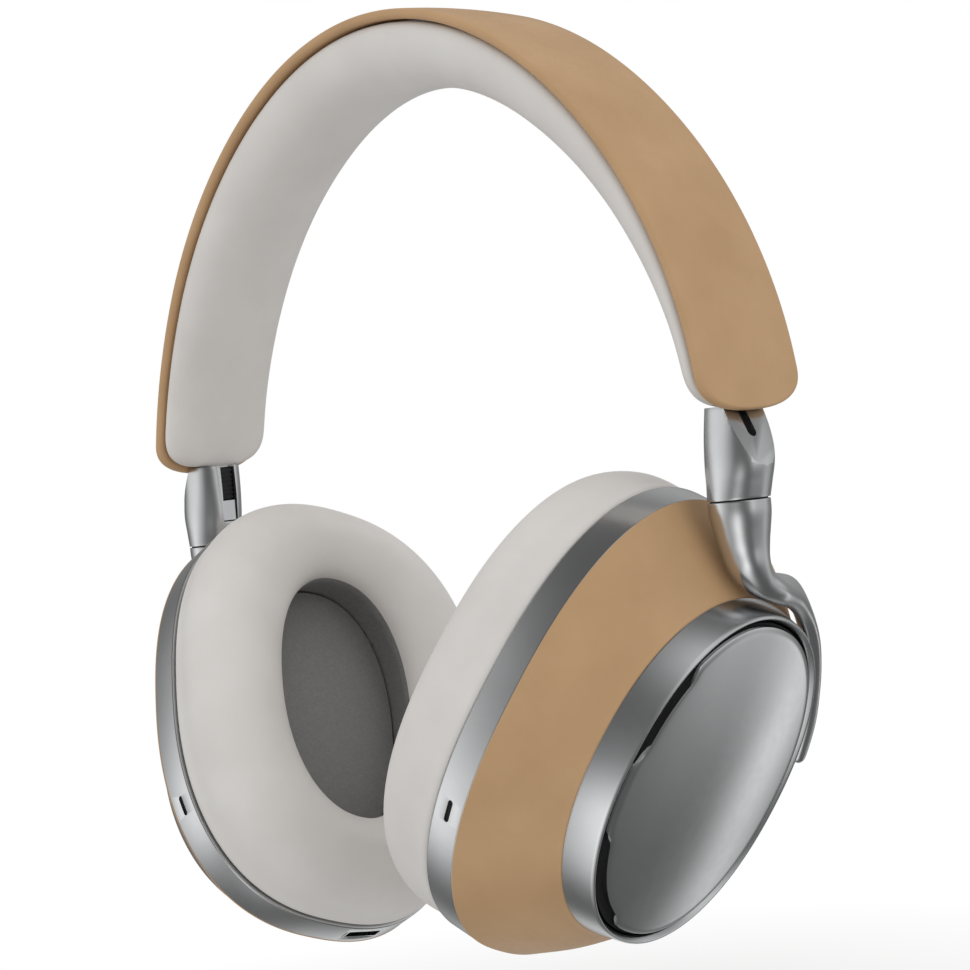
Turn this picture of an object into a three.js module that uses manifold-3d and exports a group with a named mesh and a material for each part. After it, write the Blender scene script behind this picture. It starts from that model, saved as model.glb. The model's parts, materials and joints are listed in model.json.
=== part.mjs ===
// Over-ear headphones: a padded headband, two sliding and swivelling arms, and two tilting ear cups.
// Millimetres, +Z up, front towards -Y. The wearer's left cup is at +X. The origin is the middle of
// the underside of the headband's cushion, where the headband rests on the head.
import * as THREE from "three";
import { mergeVertices } from "three/addons/utils/BufferGeometryUtils.js";
import Module from "manifold-3d";

const wasm = await Module();
wasm.setup();

// ---- driving dimensions ----
const GAP = 0.3;

// Headband: its outer curve is a short cosine series in the XZ plane, from one end over to the other.
const ARCH_X = [82.3, 0.4, 0.4];
const ARCH_Z = [91.3, -0.8, 0.4];
const ARCH_FOOT_Z = 28.2;
const FLARE_OUT = 1.5;
const FLARE_FORWARD = 1;
const FLARE_RISE = 0.45;
const BAND_THICK_CROWN = 16.9;
const BAND_THICK_END = 7;
const BAND_THICK_POWER = 1.2;
const BAND_HALF_CROWN = 14.6;
const BAND_HALF_END = 15.2;
const COVER_THICK = 1.6;
const COVER_CROWNING = 0.6;
const COVER_END_ROUND = 7.5;
const CUSHION_END_ROUND = 12;
const CUSHION_START = 0.019;
const CORE_THICK = 1.1;
const CORE_HALF = 9;
const CORE_START = 0.27;
const HEAD_REST_Z = 103.8;

// Slider: a flat blade that leans inwards and runs up inside the end of the headband.
const SLIDE_LEAN = THREE.MathUtils.degToRad(10.5);
const BLADE_THICK = 1.2;
const BLADE_WIDTH = 9;
const BLADE_LENGTH = 28;
const BLADE_NOTCHES = 5;
const NOTCH_START = 8;
const NOTCH_PITCH = 4;
const BLADE_FOOT = new THREE.Vector3(79.2, -1, 29);
const HOUSING_HALF = 7;
const HOUSING_LENGTH = 30;
const INNER_FLAT_X = 75.6;

// Upper arm: from its round foot, which is the swivel joint, up to the end of the headband.
const ARM_FOOT = new THREE.Vector3(80, -3.6, 11.2);
const ARM_HEAD = new THREE.Vector3(80.9, -2, 29);
const ARM_RADIUS = 6.2;
const SCOOP_TOP_X = 82;
const SCOOP_FOOT_X = 87.2;
const SCOOP_FOOT_Z = 17.8;
const CHANNEL_WIDTH = 4.2;
const CHANNEL_DEPTH = 2.4;
const CHANNEL_FOOT_Z = 16.2;
const CABLE_RIBS = 7;
const PLUG_LENGTH = 4.6;
const SWIVEL_PIN_RADIUS = 2.4;
const SWIVEL_PIN_HALF = 4.5;

// Ear cup: its own frame has X outwards, Y to the rear and Z up, and its zero is the plane where
// the metal trim ring meets the cover.
const CUP_CENTRE = new THREE.Vector3(48.1, -11.1, -32.8);
const CUP_TOE = THREE.MathUtils.degToRad(1.6);
const CUP_TILT = THREE.MathUtils.degToRad(25.8);
const CUP_ROLL = THREE.MathUtils.degToRad(-22.3);
const CUP_A = 37.3;
const CUP_B = 50;
const CUP_POWER = 2.4;
const RING_DEPTH = 7.2;
const RING_WALL = 3;
const COVER_TOP = 15.2;
const COVER_TOP_REAR = 4.5;
const POD_A = 31.6;
const POD_B = 37.2;
const POD_POWER = 2.15;
const POD_TOP = 21.8;
const POD_TOP_REAR = 4.8;
const RIM_A = 27.7;
const RIM_B = 35.3;
const DISC_A = 26.2;
const DISC_B = 33.3;
const DISC_DOME = 1.9;
const PAD_DEPTH = 19.5;
const PAD_HOLE_A = 16.5;
const PAD_HOLE_B = 29.5;
const COVER_WALL = 1.8;
const BAFFLE_THICK = 1.2;
const LINER_THICK = 1;
const OVAL_STEPS = 40;

// Yoke: a bar that leaves the swivel joint, passes over the pod and ends behind it.
const PIVOT_ANGLE = -CUP_ROLL;
const PIVOT_OUT = COVER_TOP + 1.1;
const PIVOT_RADIUS = 1.5;
const PIVOT_REACH = 5.6;

// Drive unit and electronics.
const DRIVER_RADIUS = 20;
const COIL_RADIUS = 12.6;
const BUTTON_LENGTH = 8;
const BUTTON_WIDTH = 3.4;
const BUTTON_HEIGHT = 3.6;
const BUTTON_PROUD = 0.9;
const SWITCH_LENGTH = 5;
const SWITCH_TRAVEL = 1.5;
const WINDOW_REACH = 12;
const PORT_WIDTH = 9.2;
const PORT_HEIGHT = 3.4;
const PORT_DEPTH = 7;
const MAGNET_DEPTH = 5;
const BATTERY_SIZE = [5, 22, 34];
const BOARD_THICK = 1.2;

// ---- materials ----
const FINISH = {
  leather: { color: "#b6926f", roughness: 0.6, metalness: 0 },
  cushion: { color: "#cfcbc5", roughness: 0.65, metalness: 0 },
  aluminium: { color: "#a9abad", roughness: 0.3, metalness: 1 },
  steel: { color: "#8f9296", roughness: 0.35, metalness: 1 },
  black: { color: "#1b1b1d", roughness: 0.6, metalness: 0 },
  fabric: { color: "#6d6b69", roughness: 0.9, metalness: 0 },
  plastic: { color: "#34353a", roughness: 0.5, metalness: 0 },
  board: { color: "#1f5136", roughness: 0.5, metalness: 0 },
  film: { color: "#c9c3b6", roughness: 0.4, metalness: 0 },
};

function piece(name, geometry, finish) {
  const mesh = new THREE.Mesh(geometry, new THREE.MeshStandardMaterial(FINISH[finish]));
  mesh.name = name;
  return mesh;
}

// ---- geometry helpers ----
function geometryFrom(points, faces) {
  const geometry = new THREE.BufferGeometry().setFromPoints(points);
  geometry.setIndex(signedVolume(points, faces) < 0 ? flipped(faces) : faces);
  geometry.computeVertexNormals();
  return geometry;
}

function signedVolume(points, faces) {
  let volume = 0;
  for (let i = 0; i < faces.length; i += 3) {
    const [a, b, c] = [points[faces[i]], points[faces[i + 1]], points[faces[i + 2]]];
    volume += a.dot(new THREE.Vector3().crossVectors(b, c)) / 6;
  }
  return volume;
}

function flipped(faces) {
  const out = [];
  for (let i = 0; i < faces.length; i += 3) out.push(faces[i], faces[i + 2], faces[i + 1]);
  return out;
}

// A skin over rings of points; a closed skin joins the last ring to the first, an open one is capped.
function skin(rings, closed) {
  const points = rings.flat();
  const count = rings[0].length;
  const faces = [];
  const spans = closed ? rings.length : rings.length - 1;
  for (let i = 0; i < spans; i++) {
    const here = i * count;
    const next = ((i + 1) % rings.length) * count;
    for (let k = 0; k < count; k++) {
      const m = (k + 1) % count;
      faces.push(here + k, here + m, next + m, here + k, next + m, next + k);
    }
  }
  if (!closed) {
    cap(points, faces, 0, count, false);
    cap(points, faces, (rings.length - 1) * count, count, true);
  }
  return geometryFrom(points, faces);
}

function cap(points, faces, start, count, top) {
  const middle = new THREE.Vector3();
  for (let k = 0; k < count; k++) middle.add(points[start + k]);
  points.push(middle.divideScalar(count));
  const hub = points.length - 1;
  for (let k = 0; k < count; k++) {
    const pair = [start + k, start + ((k + 1) % count)];
    if (top) faces.push(hub, pair[0], pair[1]);
    else faces.push(hub, pair[1], pair[0]);
  }
}

function power(value, exponent) {
  return Math.sign(value) * Math.abs(value) ** exponent;
}

// A point of a superellipse with half-axes a and b, at an angle.
function ovalPoint(angle, a, b, n) {
  return [a * power(Math.cos(angle), 2 / n), b * power(Math.sin(angle), 2 / n)];
}

// A point of the superellipse [x, a, b, n, rear]: its level, half-axes, power and rearward shift.
function levelPoint(angle, [x, a, b, n, rear = 0]) {
  const [y, z] = ovalPoint(angle, a, b, n);
  return new THREE.Vector3(x, y + rear, z);
}

// A loop-shaped solid in the cup's frame. Each corner of its section follows its own superellipse.
function ovalRing(section, steps = OVAL_STEPS) {
  const rings = [];
  for (let i = 0; i < steps; i++) {
    const angle = (i / steps) * 2 * Math.PI;
    rings.push(section.map((level) => levelPoint(angle, level)));
  }
  return skin(rings, true);
}

// A plate-shaped solid in the cup's frame, stacked from superellipses.
function ovalPlate(levels, steps = OVAL_STEPS) {
  const rings = levels.map((level) => {
    const ring = [];
    for (let i = 0; i < steps; i++) ring.push(levelPoint((i / steps) * 2 * Math.PI, level));
    return ring;
  });
  return skin(rings, false);
}

// A bar lofted through stations of {at, one, two, n}: a centre and two half-axis vectors.
function bar(stations, sides = 16) {
  const rings = stations.map(({ at, one, two, n }) => {
    const ring = [];
    for (let k = 0; k < sides; k++) {
      const [p, q] = ovalPoint((k / sides) * 2 * Math.PI, 1, 1, n);
      ring.push(at.clone().addScaledVector(one, p).addScaledVector(two, q));
    }
    return ring;
  });
  return skin(rings, false);
}

// A box of a size, with its middle at a point and its own X, Y and Z along three axes.
function boxAt(size, middle, axes) {
  const geometry = new THREE.BoxGeometry(...size);
  if (axes) geometry.applyMatrix4(new THREE.Matrix4().makeBasis(...axes));
  return geometry.translate(middle.x, middle.y, middle.z);
}

// A cylinder between two points.
function rod(from, to, radius, sides = 16) {
  const along = new THREE.Vector3().subVectors(to, from);
  const geometry = new THREE.CylinderGeometry(radius, radius, along.length(), sides);
  const turn = new THREE.Quaternion().setFromUnitVectors(
    new THREE.Vector3(0, 1, 0),
    along.clone().normalize(),
  );
  geometry.applyQuaternion(turn);
  const middle = new THREE.Vector3().addVectors(from, to).multiplyScalar(0.5);
  return geometry.translate(middle.x, middle.y, middle.z);
}

function solid(geometry) {
  const bare = geometry.clone();
  bare.deleteAttribute("normal");
  bare.deleteAttribute("uv");
  const merged = mergeVertices(bare, 1e-4);
  return new wasm.Manifold(
    new wasm.Mesh({
      numProp: 3,
      vertProperties: new Float32Array(merged.attributes.position.array),
      triVerts: new Uint32Array(merged.index.array),
    }),
  );
}

function cut(geometry, ...tools) {
  let result = solid(geometry);
  for (const tool of tools) result = result.subtract(solid(tool));
  const mesh = result.getMesh();
  const out = new THREE.BufferGeometry();
  out.setAttribute("position", new THREE.BufferAttribute(mesh.vertProperties, 3));
  out.setIndex(new THREE.BufferAttribute(mesh.triVerts, 1));
  out.computeVertexNormals();
  return out;
}

// ---- headband ----
// How far the arch is flared, outwards and forwards: 1 at its ends, 0 from a quarter of the way up.
function flareShare(angle) {
  return Math.max(0, 1 - Math.sin(angle) / FLARE_RISE) ** 2;
}

// The arch's outer curve at an angle from the left end (0) to the right end (pi), moved inwards.
function archPoint(angle, inset) {
  const at = (t) => {
    const flare = flareShare(t);
    const x = ARCH_X[0] * Math.cos(t) + ARCH_X[1] * Math.cos(3 * t) + ARCH_X[2] * Math.cos(5 * t);
    const z = ARCH_Z[0] * Math.sin(t) + ARCH_Z[1] * Math.sin(3 * t) + ARCH_Z[2] * Math.sin(5 * t);
    const outwards = Math.sign(Math.cos(t)) * FLARE_OUT * flare;
    return new THREE.Vector3(x + outwards, -FLARE_FORWARD * flare, ARCH_FOOT_Z + z);
  };
  const step = 1e-3;
  const along = at(angle + step).sub(at(angle - step)).normalize();
  const inwards = new THREE.Vector3(-along.z, 0, along.x);
  return at(angle).addScaledVector(inwards, inset);
}

// How far towards the crown: 0 at the ends, 1 at the crown.
function crownShare(angle) {
  return Math.sin(angle) ** 2;
}

function bandHalfWidth(angle) {
  return THREE.MathUtils.lerp(BAND_HALF_END, BAND_HALF_CROWN, crownShare(angle));
}

function bandThickness(angle) {
  const share = Math.sin(angle) ** BAND_THICK_POWER;
  return THREE.MathUtils.lerp(BAND_THICK_END, BAND_THICK_CROWN, share);
}

// Width share of a round end: 0 at the end itself, 1 past the rounding.
function endShare(angle, rounding) {
  const reach = Math.min(angle, Math.PI - angle) * ARCH_Z[0];
  const rest = Math.max(0, 1 - reach / rounding);
  return Math.max(0.45, (1 - rest ** 2.4) ** (1 / 2.4));
}

// Angles over the arch, closer together at the ends.
function archAngles(count, start) {
  const angles = [];
  for (let i = 0; i <= count; i++) {
    const share = i / count;
    const eased = share - (0.55 * Math.sin(2 * Math.PI * share)) / (2 * Math.PI);
    angles.push(THREE.MathUtils.lerp(start, Math.PI - start, eased));
  }
  return angles;
}

// A long solid under the arch. The profile gives its section's points as [y share, inset].
function archSolid(angles, profile) {
  const rings = angles.map((angle) =>
    profile(angle).map(([y, inset]) => {
      const point = archPoint(angle, inset);
      point.y += y;
      return point;
    }),
  );
  return skin(rings, false);
}

function headbandCover() {
  return archSolid(archAngles(34, 0), (angle) => {
    const half = bandHalfWidth(angle) * endShare(angle, COVER_END_ROUND);
    const drop = COVER_CROWNING;
    return [
      [-half, 0.3],
      [-half * 0.9, -0.4 * drop],
      [0, -drop],
      [half * 0.9, -0.4 * drop],
      [half, 0.3],
      [half, COVER_THICK],
      [-half, COVER_THICK],
    ];
  });
}

function headbandCore() {
  const top = COVER_THICK + GAP;
  return archSolid(archAngles(24, CORE_START + 0.16), () => [
    [-CORE_HALF, top],
    [CORE_HALF, top],
    [CORE_HALF, top + CORE_THICK],
    [-CORE_HALF, top + CORE_THICK],
  ]);
}

function cushionBlank() {
  return archSolid(archAngles(30, CUSHION_START), (angle) => {
    const top = COVER_THICK + GAP;
    const half = (bandHalfWidth(angle) - 0.6) * endShare(angle, CUSHION_END_ROUND);
    const deep = bandThickness(angle);
    const depth = deep - top;
    const points = [
      [-half * 0.94, top],
      [half * 0.94, top],
    ];
    for (let k = 0; k <= 8; k++) {
      const turn = (k / 8) * Math.PI;
      const [y, down] = ovalPoint(turn, half, depth * 0.8, 2.6);
      points.push([y, top + depth * 0.2 + down]);
    }
    return points;
  });
}

function headbandCushion() {
  const coreRoom = archSolid(archAngles(24, CORE_START + 0.145), () => [
    [-CORE_HALF - GAP, 0],
    [CORE_HALF + GAP, 0],
    [CORE_HALF + GAP, COVER_THICK + CORE_THICK + 2 * GAP],
    [-CORE_HALF - GAP, COVER_THICK + CORE_THICK + 2 * GAP],
  ]);
  const rooms = [1, -1].map((side) => {
    const room = housingBlank(GAP);
    if (side < 0) room.scale(-1, 1, 1);
    return side < 0 ? turnedInside(room) : room;
  });
  return cut(cushionBlank(), coreRoom, ...rooms);
}

function turnedInside(geometry) {
  const index = geometry.index ?? mergeVertices(geometry).index;
  geometry.setIndex(flipped(Array.from(index.array)));
  return geometry;
}

// ---- slider ----
function slideAxes() {
  const up = new THREE.Vector3(-Math.sin(SLIDE_LEAN), 0, Math.cos(SLIDE_LEAN));
  const out = new THREE.Vector3(Math.cos(SLIDE_LEAN), 0, Math.sin(SLIDE_LEAN));
  return { up, out, back: new THREE.Vector3(0, 1, 0) };
}

function onBlade(along, out) {
  const axes = slideAxes();
  return BLADE_FOOT.clone().addScaledVector(axes.up, along).addScaledVector(axes.out, out);
}

// The housing fills the room between the cover and the blade's inner face.
function housingBlank(extra) {
  const rings = [];
  const steps = 6;
  const outer = COVER_THICK + 2 * GAP - extra;
  for (let i = 0; i <= steps; i++) {
    const along = THREE.MathUtils.lerp(1 - 3 * extra, HOUSING_LENGTH + extra, i / steps);
    const inner = onBlade(along, -BLADE_THICK / 2 - extra);
    const angle = Math.asin(THREE.MathUtils.clamp((inner.z - ARCH_FOOT_Z) / ARCH_Z[0], 0.006, 1));
    const face = archPoint(angle, outer);
    const half = HOUSING_HALF + extra;
    rings.push([
      new THREE.Vector3(inner.x, inner.y - half, inner.z),
      new THREE.Vector3(face.x, inner.y - half, inner.z),
      new THREE.Vector3(face.x, inner.y + half, inner.z),
      new THREE.Vector3(inner.x, inner.y + half, inner.z),
    ]);
  }
  return skin(rings, false);
}

function sliderHousing() {
  const axes = slideAxes();
  const room = boxAt(
    [BLADE_THICK + 2 * GAP, BLADE_WIDTH + 2 * GAP, 2 * HOUSING_LENGTH],
    onBlade(0, 0),
    [axes.out, axes.back, axes.up],
  );
  return cut(housingBlank(0), room);
}

function sliderBlade() {
  const axes = slideAxes();
  const middle = onBlade(GAP + BLADE_LENGTH / 2, 0);
  const blade = boxAt([BLADE_THICK, BLADE_WIDTH, BLADE_LENGTH], middle, [axes.out, axes.back, axes.up]);
  const notches = [];
  for (let i = 0; i < BLADE_NOTCHES; i++) {
    const at = onBlade(NOTCH_START + i * NOTCH_PITCH, BLADE_THICK / 2);
    notches.push(boxAt([0.8, 5, 1.4], at, [axes.out, axes.back, axes.up]));
  }
  return cut(blade, ...notches);
}

// ---- upper arm ----
function armStation(share, halfX, halfY, n, outwards) {
  const at = new THREE.Vector3().lerpVectors(ARM_FOOT, ARM_HEAD, share);
  at.x += outwards;
  return { at, one: new THREE.Vector3(halfX, 0, 0), two: new THREE.Vector3(0, halfY, 0), n };
}

function upperArm() {
  const body = bar(
    [
      armStation(0, ARM_RADIUS, ARM_RADIUS, 2, 0),
      armStation(0.18, ARM_RADIUS + 0.3, ARM_RADIUS, 2.1, 0.2),
      armStation(0.4, ARM_RADIUS + 0.6, ARM_RADIUS, 2.3, 0.3),
      armStation(0.7, ARM_RADIUS + 0.2, ARM_RADIUS - 0.2, 2.6, 0),
      armStation(1, ARM_RADIUS - 0.2, ARM_RADIUS - 0.4, 2.9, 0),
    ],
    20,
  );
  return cut(body, scoopTool(), innerFlatTool(), channelTool(), slotTool(), swivelBore());
}

// The sloping flat that is cut into the arm's outer face.
function scoopTool() {
  const top = new THREE.Vector3(SCOOP_TOP_X, 0, ARM_HEAD.z);
  const foot = new THREE.Vector3(SCOOP_FOOT_X, 0, SCOOP_FOOT_Z);
  const along = new THREE.Vector3().subVectors(top, foot).normalize();
  const out = new THREE.Vector3(along.z, 0, -along.x);
  const middle = new THREE.Vector3().lerpVectors(top, foot, 0.3).addScaledVector(out, 10);
  return boxAt([20, 40, 60], middle, [out, new THREE.Vector3(0, 1, 0), along]);
}

function innerFlatTool() {
  return boxAt([10, 40, 12], new THREE.Vector3(INNER_FLAT_X - 5, 0, ARM_HEAD.z));
}

// The middle of the arm's inner side at a height.
function channelMiddle(z) {
  const share = (z - ARM_FOOT.z) / (ARM_HEAD.z - ARM_FOOT.z);
  const at = new THREE.Vector3().lerpVectors(ARM_FOOT, ARM_HEAD, share);
  at.x -= ARM_RADIUS;
  return at;
}

// A four-sided station across the channel: its width, and its two depths into the arm.
function channelStation(z, width, shallow, deep) {
  const at = channelMiddle(z);
  return [
    new THREE.Vector3(at.x + shallow, at.y - width / 2, z),
    new THREE.Vector3(at.x + deep, at.y - width / 2, z),
    new THREE.Vector3(at.x + deep, at.y + width / 2, z),
    new THREE.Vector3(at.x + shallow, at.y + width / 2, z),
  ];
}

function channelTool() {
  return skin(
    [
      channelStation(CHANNEL_FOOT_Z, CHANNEL_WIDTH, -4, CHANNEL_DEPTH),
      channelStation(ARM_HEAD.z + 3, CHANNEL_WIDTH, -4, CHANNEL_DEPTH),
    ],
    false,
  );
}

function slotTool() {
  const at = new THREE.Vector3(84.2, (ARM_FOOT.y + ARM_HEAD.y) / 2, 27.5);
  return boxAt([4.4, 1.8, 11], at);
}

function swivelBore() {
  const foot = ARM_FOOT.clone();
  foot.z -= 1;
  const end = ARM_FOOT.clone();
  end.z += SWIVEL_PIN_HALF + 2 * GAP;
  return rod(foot, end, SWIVEL_PIN_RADIUS + GAP, 16);
}

function armCable() {
  const rings = [];
  const [low, high] = [CHANNEL_FOOT_Z + PLUG_LENGTH + 2 * GAP, ARM_HEAD.z - GAP];
  for (let i = 0; i <= 2 * CABLE_RIBS; i++) {
    const swell = i % 2 ? 0.25 : 0;
    const width = CHANNEL_WIDTH - 2 * GAP - 0.5 + 2 * swell;
    const z = THREE.MathUtils.lerp(low, high, i / (2 * CABLE_RIBS));
    rings.push(channelStation(z, width, 0.9 - swell, CHANNEL_DEPTH - GAP));
  }
  return skin(rings, false);
}

function armPlug() {
  const width = CHANNEL_WIDTH - 2 * GAP;
  return skin(
    [
      channelStation(CHANNEL_FOOT_Z + GAP, width, 0.4, CHANNEL_DEPTH - GAP),
      channelStation(CHANNEL_FOOT_Z + GAP + PLUG_LENGTH, width, 0.4, CHANNEL_DEPTH - GAP),
    ],
    false,
  );
}

function swivelPin() {
  const low = ARM_FOOT.clone();
  low.z -= SWIVEL_PIN_HALF;
  const high = ARM_FOOT.clone();
  high.z += SWIVEL_PIN_HALF;
  return rod(low, high, SWIVEL_PIN_RADIUS, 16);
}

// ---- ear cup, in its own frame ----
function cupRotation() {
  return new THREE.Euler(CUP_ROLL, CUP_TILT, CUP_TOE, "ZYX");
}

function intoCup(point) {
  const turn = new THREE.Quaternion().setFromEuler(cupRotation()).invert();
  return point.clone().sub(CUP_CENTRE).applyQuaternion(turn);
}

// A place on the cup's edge at an angle from the rear, with its outward normal and its tangent.
function edgePlace(angle, x) {
  const at = (t) => new THREE.Vector3(x, ...ovalPoint(t, CUP_A, CUP_B, CUP_POWER));
  const tangent = at(angle + 1e-3).sub(at(angle - 1e-3)).normalize();
  const across = new THREE.Vector3(1, 0, 0);
  const normal = new THREE.Vector3().crossVectors(tangent, across);
  return { at: at(angle), normal, tangent, across };
}

function edgeBox(place, size, sink) {
  const middle = place.at.clone().addScaledVector(place.normal, -sink);
  return boxAt(size, middle, [place.normal, place.tangent, place.across]);
}

function trimRing(windows) {
  const [a, b, n] = [CUP_A, CUP_B, CUP_POWER];
  const ring = ovalRing([
    [-RING_DEPTH, a - 0.8, b - 0.8, n],
    [-RING_DEPTH + 0.9, a, b, n],
    [-0.7, a, b, n],
    [0, a - 0.6, b - 0.6, n],
    [0, a - RING_WALL, b - RING_WALL, n],
    [-RING_DEPTH, a - RING_WALL, b - RING_WALL, n],
  ]);
  return windows.length ? cut(ring, ...windows) : ring;
}

function earCover() {
  const middle = 0.5 * COVER_TOP;
  const midRear = 0.5 * COVER_TOP_REAR;
  const [midA, midB] = [(CUP_A + POD_A) / 2 + 0.2, (CUP_B + POD_B) / 2 + 0.8];
  const shell = ovalRing([
    [GAP, CUP_A - 0.3, CUP_B - 0.3, CUP_POWER],
    [middle, midA, midB, 2.3, midRear],
    [COVER_TOP, POD_A, POD_B, POD_POWER, COVER_TOP_REAR],
    [COVER_TOP, POD_A - 2.4, POD_B - 2.4, POD_POWER, COVER_TOP_REAR],
    [middle, midA - COVER_WALL - 0.6, midB - COVER_WALL - 0.6, 2.3, midRear],
    [GAP, CUP_A - 0.3 - COVER_WALL, CUP_B - 0.3 - COVER_WALL, CUP_POWER],
  ]);
  const [from, to] = pivotLine(0, 60);
  return cut(shell, rod(from, to, PIVOT_RADIUS + GAP, 12));
}

// How far to the rear the pod's middle lies at a level.
function podRear(x) {
  return THREE.MathUtils.mapLinear(x, COVER_TOP, POD_TOP, COVER_TOP_REAR, POD_TOP_REAR);
}

function podLevel(x, a, b) {
  return [x, a, b, POD_POWER, podRear(x)];
}

function podRing() {
  const foot = COVER_TOP + GAP;
  const ledge = POD_TOP - 1.2;
  const body = ovalRing([
    podLevel(foot, POD_A - 0.2, POD_B - 0.2),
    podLevel(POD_TOP - 1, RIM_A + 0.6, RIM_B + 0.5),
    podLevel(POD_TOP, RIM_A, RIM_B),
    podLevel(ledge, RIM_A - 1.1, RIM_B - 1.1),
    podLevel(ledge, RIM_A - 2.6, RIM_B - 2.6),
    podLevel(foot, POD_A - 3.2, POD_B - 3.2),
  ]);
  const [from, to] = pivotLine(0, 60);
  return cut(body, rod(from, to, PIVOT_RADIUS + GAP, 12));
}

function ventMesh() {
  const [high, low] = [POD_TOP - 1.2, POD_TOP - 2.9];
  const [a, b] = [RIM_A - 2.6 - GAP, RIM_B - 2.6 - GAP];
  return ovalRing([
    podLevel(high, a, b),
    podLevel(high, DISC_A - 1.5, DISC_B - 1.5),
    podLevel(low, DISC_A - 1.5, DISC_B - 1.5),
    podLevel(low, a, b),
  ]);
}

function discPlate() {
  const base = POD_TOP - 1.2 + GAP;
  return ovalPlate([
    podLevel(base, DISC_A - 1, DISC_B - 1),
    podLevel(base + 0.5, DISC_A, DISC_B),
    podLevel(base + 1.2, DISC_A - 0.8, DISC_B - 0.8),
    podLevel(base + 1.2 + 0.55 * DISC_DOME, DISC_A * 0.68, DISC_B * 0.68),
    podLevel(base + 1.2 + 0.9 * DISC_DOME, DISC_A * 0.34, DISC_B * 0.34),
  ]);
}

function earPad() {
  const back = -RING_DEPTH - GAP;
  const crest = back - PAD_DEPTH;
  const n = 2.35;
  return ovalRing([
    [back, CUP_A - 1.4, CUP_B - 1.4, CUP_POWER],
    [back - 3, CUP_A + 0.5, CUP_B - 0.2, CUP_POWER],
    [back - 9, CUP_A + 1.6, CUP_B, n],
    [back - 14.5, CUP_A - 0.3, CUP_B - 2.4, n],
    [crest + 1.4, CUP_A - 5, CUP_B - 7.4, n],
    [crest, CUP_A - 10.5, CUP_B - 11.5, n],
    [crest + 1.6, PAD_HOLE_A + 5.2, PAD_HOLE_B + 4.6, 2.2],
    [crest + 6, PAD_HOLE_A + 1.2, PAD_HOLE_B + 1, 2.2],
    [crest + 10.5, PAD_HOLE_A, PAD_HOLE_B, 2.2],
    [back, PAD_HOLE_A + 2.5, PAD_HOLE_B + 2.5, 2.2],
  ]);
}

function earLiner() {
  const plate = ovalPlate(
    [
      [-LINER_THICK / 2, PAD_HOLE_A + 0.2, PAD_HOLE_B + 1, 2.2],
      [LINER_THICK / 2, PAD_HOLE_A + 0.2, PAD_HOLE_B + 1, 2.2],
    ],
    28,
  );
  plate.rotateZ(THREE.MathUtils.degToRad(5));
  return plate.translate(-RING_DEPTH - 2.6, 0, 0);
}

function bafflePlate() {
  const [a, b] = [CUP_A - RING_WALL - GAP, CUP_B - RING_WALL - GAP];
  const low = -RING_DEPTH + 0.2;
  const high = low + BAFFLE_THICK;
  return ovalRing(
    [
      [low, a, b, CUP_POWER],
      [high, a, b, CUP_POWER],
      [high, DRIVER_RADIUS + GAP, DRIVER_RADIUS + GAP, 2],
      [low, DRIVER_RADIUS + GAP, DRIVER_RADIUS + GAP, 2],
    ],
    32,
  );
}

// Turned parts of the drive unit: a closed profile of [radius, level], turned about the cup's X.
function turned(profile, sides) {
  const points = profile.map(([radius, level]) => new THREE.Vector2(radius, level));
  points.push(points[0].clone());
  const geometry = new THREE.LatheGeometry(points, sides);
  return geometry.rotateZ(-Math.PI / 2);
}

function driverFrame() {
  const low = -RING_DEPTH + 0.3;
  const inner = COIL_RADIUS + GAP;
  return turned(
    [
      [inner, low],
      [DRIVER_RADIUS, low],
      [DRIVER_RADIUS, low + 2],
      [DRIVER_RADIUS - 3, low + 4],
      [inner, low + 4],
    ],
    28,
  );
}

function driverDiaphragm() {
  const low = -RING_DEPTH + 0.6;
  return turned(
    [
      [0, low],
      [COIL_RADIUS * 0.6, low + 0.6],
      [COIL_RADIUS, low + 2],
      [COIL_RADIUS, low + 2.6],
      [0, low + 1.6],
    ],
    24,
  );
}

function driverMagnet() {
  const low = -RING_DEPTH + 4.6;
  return turned(
    [
      [0, low],
      [COIL_RADIUS + 1.4, low],
      [COIL_RADIUS + 1.4, low + MAGNET_DEPTH],
      [0, low + MAGNET_DEPTH],
    ],
    24,
  );
}

function circuitBoard() {
  return ovalPlate(
    [
      [8, 23, 29, 2.4],
      [8 + BOARD_THICK, 23, 29, 2.4],
    ],
    24,
  );
}

function batteryPack() {
  return boxAt(BATTERY_SIZE, new THREE.Vector3(13, 0, 0));
}

// ---- buttons and port on the trim ring ----
// A key's cap length, and how far it slides each way along the ring.
const PRESS_KEY = { length: BUTTON_LENGTH, travel: 0 };
const SLIDE_KEY = { length: SWITCH_LENGTH, travel: SWITCH_TRAVEL };

function keyWindow(place, { length, travel }) {
  const room = length + 2 * (travel + GAP);
  return edgeBox(place, [WINDOW_REACH, room, BUTTON_WIDTH + 2 * GAP], 1);
}

function keyCap(place, { length }) {
  const middle = place.at.clone().addScaledVector(place.normal, BUTTON_PROUD - BUTTON_HEIGHT / 2);
  const half = BUTTON_HEIGHT / 2;
  const stations = [-half, half - 0.5, half].map((level, i) => {
    const trim = i === 2 ? 0.5 : 0;
    return {
      at: middle.clone().addScaledVector(place.normal, level),
      one: place.tangent.clone().multiplyScalar(length / 2 - trim),
      two: place.across.clone().multiplyScalar(BUTTON_WIDTH / 2 - trim),
      n: 5,
    };
  });
  return bar(stations, 16);
}

function portWindow(place) {
  return edgeBox(place, [WINDOW_REACH, PORT_WIDTH + 2 * GAP, PORT_HEIGHT + 2 * GAP], 1);
}

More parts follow.
